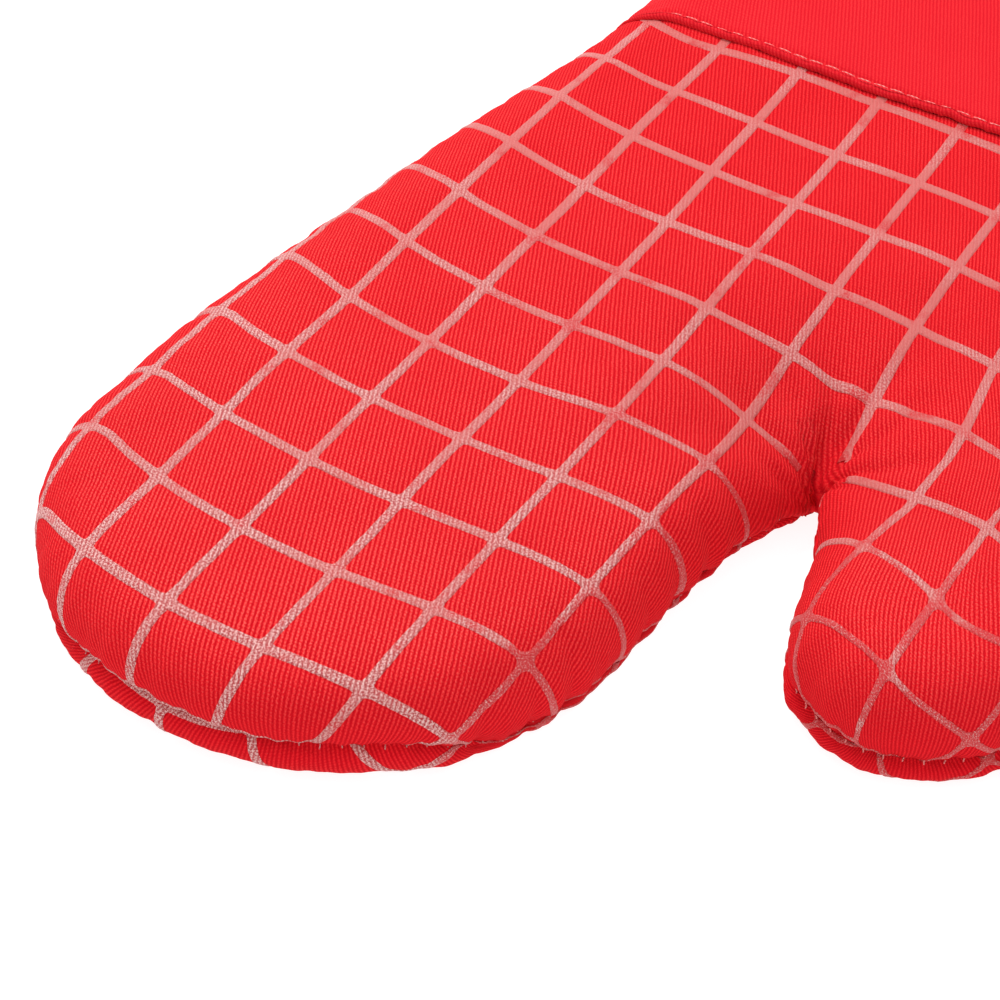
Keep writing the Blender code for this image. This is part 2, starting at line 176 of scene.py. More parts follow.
def curve_through(points, step):
    """A Catmull-Rom curve through the points, resampled at even steps."""
    points = np.array(points, float) * MM
    ends = np.vstack([2 * points[0] - points[1], points, 2 * points[-1] - points[-2]])
    fine = []
    for k in range(1, len(ends) - 2):
        a, b, c, d = ends[k - 1:k + 3]
        for t in np.arange(24) / 24.0:
            fine.append(0.5 * (2 * b + (c - a) * t + (2 * a - 5 * b + 4 * c - d) * t * t
                               + (3 * b - a - 3 * c + d) * t ** 3))
    fine = np.array(fine + [points[-1]])
    way = ways_along(fine)
    return sampled(np.linspace(0.0, way[-1], max(2, round(way[-1] / step)) + 1), way, fine)


class Outline:
    """A widest line, from one mouth corner round the fingers and the thumb to the other."""

    def __init__(self, points, crotch):
        self.points = points
        self.crotch = crotch
        self.along = ways_along(points)

    def inward(self, along):
        """The direction square to the line, towards the inside."""
        behind, ahead = (sampled(along + step, self.along, self.points) for step in (-MM, MM))
        way = unit(ahead - behind)
        return np.c_[-way[:, 1], way[:, 0]]

    def ring(self, depth, step):
        """Points at one distance inside the line."""
        along = np.arange(step / 2.0, self.along[-1], step)
        ring = sampled(along, self.along, self.points) + self.inward(along) * depth
        return ring[self.nearest(ring)[0] > depth * 0.97]

    def nearest(self, places):
        """For each place: distance to the line, the nearest point on it and the way along."""
        a, b = self.points[:-1], self.points[1:]
        ab = b - a
        length2 = (ab ** 2).sum(1)
        distance = np.empty(len(places))
        foot = np.empty((len(places), 2))
        along = np.empty(len(places))
        for start in range(0, len(places), 500):
            p = places[start:start + 500, None]
            t = np.clip(((p - a) * ab).sum(2) / length2, 0.0, 1.0)
            near = a + t[..., None] * ab
            gap = np.linalg.norm(p - near, axis=2)
            k = gap.argmin(1)
            row = np.arange(len(k))
            distance[start:start + 500] = gap[row, k]
            foot[start:start + 500] = near[row, k]
            along[start:start + 500] = self.along[k] + t[row, k] * np.sqrt(length2[k])
        return distance, foot, along


# --- Places in plan ----------------------------------------------------------------------------


def crotch_distance(places):
    return np.linalg.norm(places - np.array(CROTCH) * MM, axis=1)


def inner_side(places):
    """1 along the fingers' side that faces the thumb, 0 elsewhere."""
    x, y = places.T / MM
    near = smoothstep((x - 52.0) / 22.0) * smoothstep((y + 196.0) / 26.0) * smoothstep((-y - 60.0) / 30.0)
    return near * (1.0 - smoothstep((x - 92.0) / 4.0))


def little_tip(places):
    """1 round the little finger's tip, 0 elsewhere."""
    x, y = places.T / MM
    return smoothstep((14.0 - x) / 34.0) * smoothstep((-y - 120.0) / 60.0)


def in_thumb(places):
    """Whether places lie on the thumb's side of the fold line."""
    offset = places - np.array(CROTCH) * MM
    return (offset @ THUMB_FOLD_NORMAL < 0.0) & (offset[:, 0] > 0.0)


def towards_tips(places):
    """0 at the knuckles, rising to 1 at the fingertips."""
    return smoothstep((-places[:, 1] / MM - 60.0) / 145.0)


def cuff_edge(x):
    """The cuff's folded edge, a little further up on the thumb's side and at the left edge."""
    towards_thumb = smoothstep((x / MM - 18.0) / 75.0)
    at_side = smoothstep((-1.0 - x / MM) / 9.0)
    return (6.0 + 4.2 * towards_thumb + 4.0 * at_side) * MM


def inside(places, loop):
    """Even-odd test of places against a closed loop."""
    x, y = places[:, 0:1], places[:, 1:2]
    ax, ay = loop[:, 0], loop[:, 1]
    bx, by = np.roll(ax, -1), np.roll(ay, -1)
    crossing = (ay > y) != (by > y)
    safe = np.where(by == ay, 1.0, by - ay)
    at = ax + (y - ay) * (bx - ax) / safe
    return ((crossing & (x < at)).sum(1) % 2) == 1


def crossings(rim, y):
    """The x of the leftmost and the rightmost point where the outline crosses a level line."""
    a, b = rim[:-1], rim[1:]
    hit = (a[:, 1] > y) != (b[:, 1] > y)
    t = (y - a[hit, 1]) / (b[hit, 1] - a[hit, 1])
    xs = a[hit, 0] + t * (b[hit, 0] - a[hit, 0])
    return xs.min(), xs.max()


def place(points):
    """From the pattern frame to the row frame. The thumb's hinge is at (92.5, -89) mm of the pattern."""
    hinge = joints["thumb_fold"]["pos_m"]
    return points + np.array([hinge[0] - 92.5 * MM, hinge[1] + 89.0 * MM, 0.0])


# --- Triangles over a plan ---------------------------------------------------------------------


def closed_loop(rim, step):
    """The outline closed with a straight mouth."""
    steps = max(2, round((rim[-1, 0] - rim[0, 0]) / step))
    return np.vstack([rim, np.linspace(rim[-1], rim[0], steps + 1)[1:-1]])


def staggered(loop, step, row_step):
    """Points in staggered rows, inside the loop."""
    low, high = loop.min(0), loop.max(0)
    rows = enumerate(np.arange(low[1], high[1], row_step))
    xs = np.arange(low[0], high[0], step)
    field = np.array([(x + (r % 2) * step / 2.0, y) for r, y in rows for x in xs])
    return field[inside(field, loop)]


def triangulated(points, edges, loop):
    """Triangles over the points within a closed loop, which the first points make."""
    made = delaunay_2d_cdt([Vector(p) for p in points], edges, [list(range(len(loop)))], 1, 1e-7)
    plan = np.array([tuple(v) for v in made[0]])
    faces = [f for f in made[2] if len(f) == 3]
    keep = inside(centres_of(plan, faces), loop)
    return plan, [f for f, k in zip(faces, keep) if k]


def centres_of(plan, faces):
    return np.array([plan[f].mean(0) for f in faces])


def loop_edges(loop):
    return [(k, (k + 1) % len(loop)) for k in range(len(loop))]


def plan_mesh(outline):
    """Triangles over the mitt in plan, with edges along the cuff's edge and the thumb's fold."""
    rim = outline.points
    loop = closed_loop(rim, SIM_STEP)
    points = list(loop)
    edges = loop_edges(loop)

    def add_chain(chain):
        first = len(points)
        points.extend(chain)
        edges.extend((first + k, first + k + 1) for k in range(len(chain) - 1))

    guides = (0.0, 1.1 * MM, CUFF_STITCH_IN, CUFF_STITCH_IN + 1.3 * MM)
    for inward in guides:
        left = crossings(rim, cuff_edge(-12.0 * MM) + inward)[0]
        right = crossings(rim, cuff_edge(140.0 * MM) + inward)[1]
        xs = np.linspace(left, right, round((right - left) / SIM_STEP) + 1)
        add_chain(np.c_[xs, cuff_edge(xs) + inward])
    crotch = np.array(CROTCH) * MM
    fold_way = np.array([THUMB_FOLD_NORMAL[1], -THUMB_FOLD_NORMAL[0]])
    fold = crotch + fold_way * np.linspace(0.0, 90.0 * MM, 28)[:, None]
    across = fold[inside(fold, loop)]
    add_chain(np.vstack([fold[:1], across[1:], 2.0 * across[-1:] - across[-2:-1]]))

    spare = []
    for depth in (1.6, 3.4, 5.6, 8.2, 11.2):
        ring = outline.ring(depth * MM, SIM_STEP * (0.8 + depth * 0.02))
        spare.append(ring[inside(ring, loop)])
    field = staggered(loop, SIM_STEP, SIM_STEP * 0.87)
    spare = np.vstack(spare + [field[outline.nearest(field)[0] > 13.4 * MM]])
    for inward in guides:
        spare = spare[np.abs(spare[:, 1] - cuff_edge(spare[:, 0]) - inward) > 0.35 * SIM_STEP]
    off_fold = np.abs((spare - crotch) @ THUMB_FOLD_NORMAL)
    ahead = (spare - crotch) @ fold_way
    points.extend(spare[(off_fold > 0.4 * SIM_STEP) | (ahead < 0.0)])
    return triangulated(points, edges, loop)


# --- Mesh data ---------------------------------------------------------------------------------


def write(mesh, name, values, domain="POINT"):
    """Stores a value for each point or face, or edge; whole numbers are stored as integers."""
    values = np.asarray(values)
    kind, number = ("INT", np.int32) if values.dtype.kind in "bi" else ("FLOAT", np.float32)
    layer = mesh.attributes.get(name) or mesh.attributes.new(name, kind, domain)
    layer.data.foreach_set("value", values.astype(number))


def read(mesh, name):
    layer = mesh.attributes[name]
    is_float = layer.data_type == "FLOAT"
    values = np.zeros(len(layer.data), np.float32 if is_float else np.int32)
    layer.data.foreach_get("value", values)
    return values.astype(float) if is_float else values


def plan_of(mesh):
    return np.c_[read(mesh, "plan_x"), read(mesh, "plan_y")]


def print_of(mesh, side):
    return np.c_[read(mesh, f"{side}_u"), read(mesh, f"{side}_v")]


def vectors(mesh, what):
    values = np.zeros(len(mesh.vertices) * 3, np.float32)
    mesh.vertices.foreach_get(what, values)
    return values.reshape(-1, 3).astype(float)


def coordinates(mesh):
    return vectors(mesh, "co")


def vertex_normals(mesh):
    return vectors(mesh, "normal")


def set_coordinates(mesh, co):
    mesh.vertices.foreach_set("co", np.asarray(co, np.float32).ravel())
    mesh.update()


def vertices_of(mesh, faces):
    """For each vertex, whether one of the chosen faces uses it."""
    flags = np.zeros(len(mesh.vertices), bool)
    for face in mesh.polygons:
        if faces[face.index]:
            flags[list(face.vertices)] = True
    return flags


def add_uv(mesh, uv):
    """Stores print coordinates, in millimetres, as the piece's own UV map."""
    layer = mesh.uv_layers.new(name="Cloth")
    loops = np.zeros(len(mesh.loops), np.int32)
    mesh.loops.foreach_get("vertex_index", loops)
    layer.data.foreach_set("uv", (uv[loops] / MM).astype(np.float32).ravel())


def new_mesh(name, verts, faces, uv=None):
    mesh = bpy.data.meshes.new(name)
    mesh.from_pydata([tuple(v) for v in verts], [], faces)
    if uv is not None:
        add_uv(mesh, np.asarray(uv))
        mesh.shade_smooth()
    return mesh


def ring_faces(rings, around, start=0, closed=False):
    """Faces between neighbouring rings of points, and from the last ring to the first if closed."""
    faces = []
    for ring in range(rings if closed else rings - 1):
        here, ahead = start + ring * around, start + (ring + 1) % rings * around
        for k in range(around):
            after = (k + 1) % around
            faces.append((here + k, here + after, ahead + after, ahead + k))
    return faces


def mesh_of_faces(name, verts, faces, uv):
    """A mesh of some faces and the points that they use, and the numbers of those points."""
    used = np.unique(np.array([k for f in faces for k in f]))
    index = np.full(len(verts), -1)
    index[used] = np.arange(len(used))
    return new_mesh(name, verts[used], [tuple(int(index[k]) for k in f) for f in faces], uv[used]), used


def two_panels(name, front, back, faces, joined, zones, values):
    """Two panels as one mesh that share the joined points, with the back's faces turned over.

    Both panels have the same zone for each face and the same values for each point.
    """
    count = len(front)
    other = np.where(joined, np.arange(count), np.arange(count) + count)
    solid = [tuple(f) for f in faces] + [tuple(int(other[k]) for k in f[::-1]) for f in faces]
    mesh = new_mesh(name, place(np.vstack([front, back])), solid)
    for key, each in values.items():
        write(mesh, key, np.tile(each, 2))
    write(mesh, "zone", np.tile(zones, 2), "FACE")
    write(mesh, "back", np.repeat((0, 1), len(faces)), "FACE")
    bm = bmesh.new()
    bm.from_mesh(mesh)
    bmesh.ops.delete(bm, geom=[v for v in bm.verts if not v.link_faces], context="VERTS")
    bm.to_mesh(mesh)
    bm.free()
    return mesh


def add_piece(name, mesh):
    obj = bpy.data.objects.new(name, mesh)
    bpy.context.scene.collection.objects.link(obj)
    return obj


def evaluated(obj):
    depsgraph = bpy.context.evaluated_depsgraph_get()
    return bpy.data.meshes.new_from_object(obj.evaluated_get(depsgraph))


def subdivided(mesh, levels):
    """The mesh with smooth subdivision applied."""
    obj = add_piece("coarse", mesh)
    modifier = obj.modifiers.new("smooth", "SUBSURF")
    modifier.levels = levels
    modifier.render_levels = levels
    fine = evaluated(obj)
    bpy.data.objects.remove(obj)
    return fine


# --- Padded shell ------------------------------------------------------------------------------


def edge_section(width):
    """A panel's rounded edge in section, from the seam inward: plan distance from the widest line,
    and share of the panel's rise.
    """
    dip = math.acos(1.0 - SEAM_INSET / width)
    angle = np.linspace(-dip, math.pi / 2.0, 41)
    inward = width * (1.0 - np.cos(angle))
    low = WAIST * (1.0 + np.sin(angle) / math.sin(dip))
    return inward, np.where(angle < 0.0, low, WAIST + (1.0 - WAIST) * np.sin(angle))


def seam_height(places):
    """The seam sinks along the thumb, along the fingers' inner side and at the little finger."""
    x, y = places.T / MM
    thumb = smoothstep((x - 92.0) / 12.0) * smoothstep((-y - 80.0) / 40.0)
    drop = np.maximum(3.0 * thumb, 6.0 * inner_side(places))
    return SEAM_Z - (np.maximum(drop, 4.2 * little_tip(places))) * MM


def panel_points(is_front, plan, distance, foot):
    """Places of a panel's points in space, and where they lie on the flat cloth."""
    width = FRONT_WIDTH if is_front else BACK_WIDTH
    inward, share = edge_section(width)
    seam_z = seam_height(plan)
    crown = CROWN_Z - DOME - TIP_DROP * towards_tips(plan)
    rise = (crown - seam_z) if is_front else seam_z
    length = ways_along(np.c_[inward, share * np.median(rise)])
    excess = (length[-1] - length) - (inward[-1] - inward)
    reach = np.clip(distance / width, 0.0, 1.0) * length[-1]
    x, f, spare = (np.interp(reach, length, column) for column in (inward, share, excess))
    if not is_front:
        tuck = 0.85 * np.maximum(inner_side(plan), little_tip(plan))
        x = np.where(x < SEAM_INSET, x + (SEAM_INSET - x) * tuck, x)
    inner = (plan - foot) / np.maximum(distance, 1e-9)[:, None]
    inner[distance < ON_SEAM] = 0.0
    beyond = np.maximum(distance - width, 0.0)
    pull = smoothstep(crotch_distance(plan) / CROTCH_REACH)
    spot = foot + inner * (x + beyond)[:, None]
    cloth = foot + inner * (x + beyond - spare * pull)[:, None]
    if is_front:
        height = f * rise + DOME * (1.0 - np.exp(-distance / DOME_REACH)) * f
        z = seam_z + height * (1.0 - 0.45 * (1.0 - pull))
    else:
        z = seam_z * (1.0 - f)
    return np.c_[spot, z], cloth


def print_coordinates(cloth):
    """The lines bow a few millimetres with the stretch of the padding."""
    x = np.clip((cloth[:, 0] / MM - 40.0) / 60.0, -1.0, 1.5)
    y = np.clip((cloth[:, 1] / MM + 90.0) / 100.0, -1.1, 1.1)
    drift_u = -0.9 * x - 3.3 * x * x - 2.8 * y * y
    drift_v = 3.4 * x + 7.4 * x * x - 7.3 * x ** 3 - 3.8 * x * y + 1.4 * y * y + 3.6 * y ** 3
    drift = np.c_[drift_u, drift_v]
    for spot, shift, reach in STRETCHES:
        away = np.linalg.norm(cloth / MM - np.array(spot), axis=1)
        drift += np.exp(-0.5 * (away / reach) ** 2)[:, None] * np.array(shift)
    return cloth - drift * MM


def shell_mesh(outline):
    """Both panels as one mesh, joined along the seam and open at the mouth."""
    plan, faces = plan_mesh(outline)
    distance, foot, along = outline.nearest(plan)
    on_seam = distance < ON_SEAM
    # Points on the widest line move in to the seam
    inner = outline.inward(np.clip(along[on_seam], MM, outline.along[-1] - MM))
    pull = smoothstep(crotch_distance(plan) / CROTCH_REACH)[on_seam]
    panels, values = [], {}
    for side, width, rise in (("front", FRONT_WIDTH, CROWN_Z - SEAM_Z), ("back", BACK_WIDTH, SEAM_Z)):
        points, cloth = panel_points(side == "front", plan, distance, foot)
        points[on_seam, :2] += inner * SEAM_INSET
        inward, share = edge_section(width)
        out = ways_along(np.c_[inward, share * rise])[-1] - inward[-1]
        cloth[on_seam] -= inner * (out * pull)[:, None]
        panels.append(points)
        values[f"{side}_u"], values[f"{side}_v"] = print_coordinates(cloth).T
    values.update(edge_distance=distance, along=along, plan_x=plan[:, 0], plan_y=plan[:, 1])
    centres = centres_of(plan, faces)
    on_cuff = centres[:, 1] > cuff_edge(centres[:, 0])
    zones = np.where(on_cuff, CUFF, np.where(in_thumb(centres), THUMB, MAIN))
    return two_panels("shell", *panels, faces, on_seam, zones, values)


def inflate(mesh):
    """Blows the padding up by cloth simulation, with the seam and the side on the table held."""
    obj = add_piece("shell", mesh)
    rest = coordinates(mesh)
    distance = read(mesh, "edge_distance")
    plan = plan_of(mesh)
    fixed = (distance < ON_SEAM) | (rest[:, 2] < 0.2 * MM)
    obj.vertex_groups.new(name="held").add([int(k) for k in np.flatnonzero(fixed)], 1.0, "REPLACE")
    near_crotch = np.exp(-crotch_distance(plan) / (24.0 * MM))
    loose = obj.vertex_groups.new(name="loose")
    for k, amount in enumerate(np.clip(0.55 * np.exp(-distance / (7.0 * MM)) + near_crotch, 0.0, 1.0)):
        loose.add([k], float(amount), "REPLACE")
    cloth = obj.modifiers.new("cloth", "CLOTH")
    for name, value in CLOTH_SETTINGS.items():
        setattr(cloth.settings, name, value)
    cloth.settings.effector_weights.gravity = 0.0
    cloth.collision_settings.use_collision = False
    cloth.point_cache.frame_start = 1
    cloth.point_cache.frame_end = SIM_FRAMES
    for number in range(1, SIM_FRAMES + 1):
        bpy.context.scene.frame_set(number)
    move = coordinates(evaluated(obj)) - rest
    bpy.context.scene.frame_set(1)
    bpy.data.objects.remove(obj)
    size = np.linalg.norm(move, axis=1)
    after = rest + move * np.minimum(1.0, SIM_CAP / np.maximum(size, 1e-9))[:, None]
    after[:, 2] = np.maximum(after[:, 2], 0.0)
    set_coordinates(mesh, after)


def refine(mesh, levels):
    """Subdivides the shell with a sharp seam. Its print coordinates follow the same smooth rule as its
    points, so that the ribs and the printed lines run smoothly over the cloth.
    """
    back = read(mesh, "back")
    sides = {}
    for face in mesh.polygons:
        for key in face.edge_keys:
            sides.setdefault(key, set()).add(int(back[face.index]))
    write(mesh, "crease_edge", [float(len(sides[edge.key]) == 2) for edge in mesh.edges], "EDGE")
    fine = subdivided(mesh, levels)
    for panel in ("front", "back"):
        printed = mesh.copy()
        set_coordinates(printed, np.c_[print_of(mesh, panel), np.zeros(len(mesh.vertices))])
        for axis, values in zip("uv", coordinates(subdivided(printed, levels)).T):
            write(fine, f"{panel}_{axis}", values)
    return fine


def pucker(mesh):
    """Gathers along the seam and folds that run out of the crotch."""
    co = coordinates(mesh)
    distance = read(mesh, "edge_distance")
    along = read(mesh, "along")
    plan = plan_of(mesh)

    stitch = 0.22 * MM * np.cos(2.0 * math.pi * along / SEAM_STITCH_PITCH) * np.exp(-distance / (2.6 * MM))
    wander = soft_noise(np.c_[along, along * 0.0], 11.0 * MM, 3.1)
    gather = soft_noise(np.c_[along + 2.0 * MM * wander, distance * 0.35], 5.5 * MM, 7.7)
    gather *= 0.85 * MM * np.exp(-distance / (8.0 * MM)) * (1.0 - np.exp(-distance / (1.5 * MM)))
    swell = np.abs(np.sin(math.pi * along / (10.5 * MM) + 1.4 * wander))
    gather += (0.35 + 0.9 * inner_side(plan)) * MM * (swell - 0.6) * np.exp(-distance / (7.0 * MM))

    lumps = 0.75 * MM * soft_noise(plan, 30.0 * MM, 1.3) + 0.2 * MM * soft_noise(plan, 9.0 * MM, 5.9)
    on_front = vertices_of(mesh, read(mesh, "back") == 0)[:, None]
    shown = np.where(on_front, print_of(mesh, "front"), print_of(mesh, "back") - np.array(BACK_SHIFT))
    off_line = (np.abs((shown / PITCH + 0.5) % 1.0 - 0.5) * PITCH).min(1)
    cell = 1.0 - np.exp(-(off_line / (2.6 * MM)) ** 2)
    lumps += CELL_PUFF * cell * (plan[:, 1] < cuff_edge(plan[:, 0]))

    offset = plan - np.array(CROTCH) * MM
    reach = np.linalg.norm(offset, axis=1)
    angle = np.degrees(np.arctan2(offset[:, 1], offset[:, 0]))
    folds = np.zeros(len(co))
    for at, depth, width, long in CROTCH_FOLDS:
        bend = (angle - at + 180.0) % 360.0 - 180.0 + 5.0 * np.sin(reach / (9.0 * MM) + at)
        fading = np.exp(-reach / (long * MM)) * (1.0 - np.exp(-reach / (3.0 * MM)))
        folds -= depth * MM * np.exp(-(bend / width) ** 2) * fading
    off_floor = smoothstep(co[:, 2] / (1.2 * MM))
    move = (stitch + gather + folds + lumps * smoothstep(distance / (10.0 * MM))) * off_floor
    co += vertex_normals(mesh) * move[:, None]
    co[:, 2] = np.maximum(co[:, 2], 0.0)
    set_coordinates(mesh, co)


# --- Covers and silicone grid ------------------------------------------------------------------


def take_faces(name, shell, wanted, side):
    """A piece made of some of the shell's faces, with the shell's own shading normals."""
    faces = [f.vertices[:] for f in shell.polygons if wanted[f.index]]
    uv = print_of(shell, side)
    mesh, used = mesh_of_faces(name, coordinates(shell), faces, uv)
    write(mesh, "edge_distance", read(shell, "edge_distance")[used])
    mesh.normals_split_custom_set_from_vertices([tuple(n) for n in vertex_normals(shell)[used]])
    return add_piece(name, mesh)


class ClothMap:
    """Finds the point and normal of a panel at given print coordinates, or at places in plan."""

    def __init__(self, shell, side, uv):
        back = read(shell, "back") == (side == "back")
        self.co = coordinates(shell)
        self.normals = vertex_normals(shell)
        self.uv = uv
        self.zone = read(shell, "zone")[back]
        triangles, owner = [], []
        for k, f in enumerate(f.vertices for f in shell.polygons if back[f.index]):
            for a in range(1, len(f) - 1):
                triangles.append((f[0], f[a], f[a + 1]))
                owner.append(k)
        self.triangles = np.array(triangles)
        self.owner = np.array(owner)
        self.tree = BVHTree.FromPolygons([(x, y, 0.0) for x, y in self.uv], triangles)

    def find(self, uv):
        """Points, normals, distances off the cloth and zones at print coordinates."""
        near = [self.tree.find_nearest((x, y, 0.0)) for x, y in uv]
        spot = np.array([n[0][:2] for n in near])
        which = np.array([n[2] for n in near])
        off = np.array([n[3] for n in near])
        corners = self.triangles[which].T
        pa, pb, pc = self.uv[corners]
        d1, d2, d = pb - pa, pc - pa, spot - pa
        area = d1[:, 0] * d2[:, 1] - d1[:, 1] * d2[:, 0]
        area = np.where(np.abs(area) < 1e-14, 1e-14, area)
        wb = np.clip((d[:, 0] * d2[:, 1] - d[:, 1] * d2[:, 0]) / area, 0.0, 1.0)
        wc = np.clip((d1[:, 0] * d[:, 1] - d1[:, 1] * d[:, 0]) / area, 0.0, 1.0)
        shares = np.stack([1.0 - wb - wc, wb, wc])[..., None]
        point = (shares * self.co[corners]).sum(0)
        normal = unit((shares * self.normals[corners]).sum(0))
        return point, normal, off, self.zone[self.owner[which]]


def line_stations(first, last):
    """Places across a set of parallel lines: where, how high, and how far off the line's middle.

    Between two lines the height and the offset are not numbers.
    """
    across = np.array([-1.0, -0.86, -0.5, 0.0, 0.5, 0.86, 1.0])
    rise = np.array([-0.9, 0.60, 0.95, 1.0, 0.95, 0.60, -0.9])
    between = np.arange(1, LINE_STEPS + 1) / (LINE_STEPS + 1)
    empty = np.full(LINE_STEPS, np.nan)
    at, height, offset = [], [], []
    for number in range(first, last + 1):
        line = number * PITCH + across * LINE_WIDTH / 2.0
        at += [line, line[-1] + (PITCH - LINE_WIDTH) * between]
        height += [rise, empty]
        offset += [across, empty]
    return np.concatenate(at), np.concatenate(height), np.concatenate(offset)


def lattice(side, cloth_map, outline):
    """The raised silicone lines of one panel as one continuous ribbon lattice."""
    us, height_u, offset_u = line_stations(-3, 10)
    vs, height_v, offset_v = line_stations(-13, 1)
    grid_u, grid_v = np.meshgrid(us, vs, indexing="ij")
    strip_u = np.broadcast_to(~np.isnan(height_u)[:, None], grid_u.shape)
    strip_v = np.broadcast_to(~np.isnan(height_v)[None], grid_u.shape)
    used = strip_u | strip_v
    height = np.fmax(*np.broadcast_arrays(height_u[:, None], height_v[None]))[used]
    edge_u = np.nan_to_num(np.broadcast_to(offset_u[:, None], used.shape))[used]
    edge_v = np.nan_to_num(np.broadcast_to(offset_v[None], used.shape))[used]
    index = np.full(used.shape, -1)
    index[used] = np.arange(used.sum())

    uv = np.c_[grid_u[used], grid_v[used]]
    shift = np.array(BACK_SHIFT if side == "back" else (0.0, 0.0))
    ragged = soft_noise(uv, 0.9 * MM, 2.2) + 0.3 * soft_noise(uv, 3.5 * MM, 4.4)
    plan = (cloth_map.find(uv + shift)[0] - place(np.zeros(3)))[:, :2]
    on_wall = 1.0 - smoothstep((outline.nearest(plan)[0] - 5.0 * MM) / (4.0 * MM))
    thumb_tip = smoothstep((plan[:, 0] / MM - 98.0) / 8.0) * smoothstep((-plan[:, 1] / MM - 104.0) / 14.0)
    bare = np.maximum(inner_side(plan) * on_wall, 0.85 * thumb_tip)
    sway = 0.10 * MM * ragged - LINE_TAPER * smoothstep(-uv[:, 1] / (150.0 * MM)) - 0.3 * MM * bare
    uv[:, 0] += np.where((strip_u & ~strip_v)[used], sway * edge_u, 0.0)
    uv[:, 1] += np.where((strip_v & ~strip_u)[used], sway * edge_v, 0.0)
    lift = height * LINE_HEIGHT * (1.0 + 0.15 * ragged)
    lift += np.where(height > 0.4, 0.05 * MM * soft_noise(uv, 0.7 * MM, 9.1), 0.0)
    moved = uv + shift
    point, normal, off, zone = cloth_map.find(moved)
    verts = point + normal * lift[:, None]

    narrow_u = np.diff(us)[:, None] < 0.6 * LINE_WIDTH
    narrow_v = np.diff(vs)[None] < 0.6 * LINE_WIDTH
    on_line = strip_u[:-1, :-1] & strip_u[1:, :-1] & narrow_u
    on_line |= strip_v[:-1, :-1] & strip_v[:-1, 1:] & narrow_v
    corners = np.stack([index[:-1, :-1], index[1:, :-1], index[1:, 1:], index[:-1, 1:]], axis=-1)
    faces = corners[on_line & (corners.min(-1) >= 0)]
    whole = off[faces].max(1) < 0.5 * MM
    for a, b in ((0, 1), (1, 2), (2, 3), (3, 0)):
        stretch = np.linalg.norm(verts[faces[:, a]] - verts[faces[:, b]], axis=1)
        flat = np.linalg.norm(uv[faces[:, a]] - uv[faces[:, b]], axis=1)
        whole &= stretch < 1.9 * flat + 0.5 * MM
    whole &= crotch_distance(plan[faces].mean(1)) > 5.0 * MM
    return verts, faces[whole], zone[faces[whole]], moved, bare


def add_lattice(name, made, on_thumb):
    """The lines of the thumb, or of the rest."""
    verts, faces, face_zone, uv, bare = made
    keep = (face_zone == THUMB).all(1) if on_thumb else (face_zone == MAIN).any(1)
    mesh, used = mesh_of_faces(name, verts, faces[keep], uv)
    write(mesh, "bare", bare[used])
    return add_piece(name, mesh)


# --- Cuff --------------------------------------------------------------------------------------


def raise_cuff(shell):
    """Lifts the cuff's band off the cover, with a thick turned edge and a groove at its stitches."""
    co = coordinates(shell)
    plan = plan_of(shell)
    inward = np.maximum(plan[:, 1] - cuff_edge(plan[:, 0]), 0.0)
    lift = CUFF_THICKNESS + (CUFF_FOLD - CUFF_THICKNESS) * np.exp(-(inward / (1.6 * MM)) ** 2)
    lift *= 1.0 - 0.55 * smoothstep((4.0 - plan[:, 0] / MM) / 12.0)
    lift -= 0.55 * MM * np.exp(-((inward - CUFF_STITCH_IN) / (0.8 * MM)) ** 2)
    lift += 0.25 * MM * soft_noise(plan, 7.0 * MM, 6.6) * np.exp(-(inward / (9.0 * MM)) ** 2)
    raised = co + vertex_normals(shell) * lift[:, None]
    raised[:, 2] = np.maximum(raised[:, 2], 0.0)
    return np.where(vertices_of(shell, read(shell, "zone") == CUFF)[:, None], raised, co)


def take_cuff(name, shell, raised, side):
    """The cuff's band on one panel, with its folded edge rolled under."""
    zone = read(shell, "zone")
    wanted = (read(shell, "back") == int(side == "back")) & (zone == CUFF)
    on_edge = vertices_of(shell, wanted) & vertices_of(shell, zone != CUFF)
    normals = vertex_normals(shell)
    base = coordinates(shell)
    uv = print_of(shell, side)
    faces = [list(f.vertices) for f in shell.polygons if wanted[f.index]]
    verts, coords, depths = list(raised), list(uv), list(read(shell, "edge_distance"))
    rolled = {}
    for k in sorted({k for f in faces for k in f if on_edge[k]}):
        n = normals[k]
        down = unit(np.array((0.0, -1.0, 0.0)) + n * n[1], 1e-6)
        radius = np.linalg.norm(raised[k] - base[k]) / 2.0
        rolled[k] = []
        for angle in np.radians((60.0, 25.0, -15.0, -60.0)):
            rolled[k].append(len(verts))
            verts.append(base[k] + n * radius + (n * math.sin(angle) + down * math.cos(angle)) * radius)
            coords.append(uv[k] - np.array((0.0, radius * (math.pi / 2.0 - angle))))
            depths.append(depths[k])
    lip = []
    for f in faces:
        for a, b in zip(f, f[1:] + f[:1]):
            if a in rolled and b in rolled:
                near = b, a
                for far in zip(rolled[b], rolled[a]):
                    lip.append([near[0], far[0], far[1], near[1]])
                    near = far
    mesh, used = mesh_of_faces(name, np.array(verts), faces + lip, np.array(coords))
    write(mesh, "edge_distance", np.array(depths)[used])
    return add_piece(name, mesh)


# --- Threads -----------------------------------------------------------------------------------


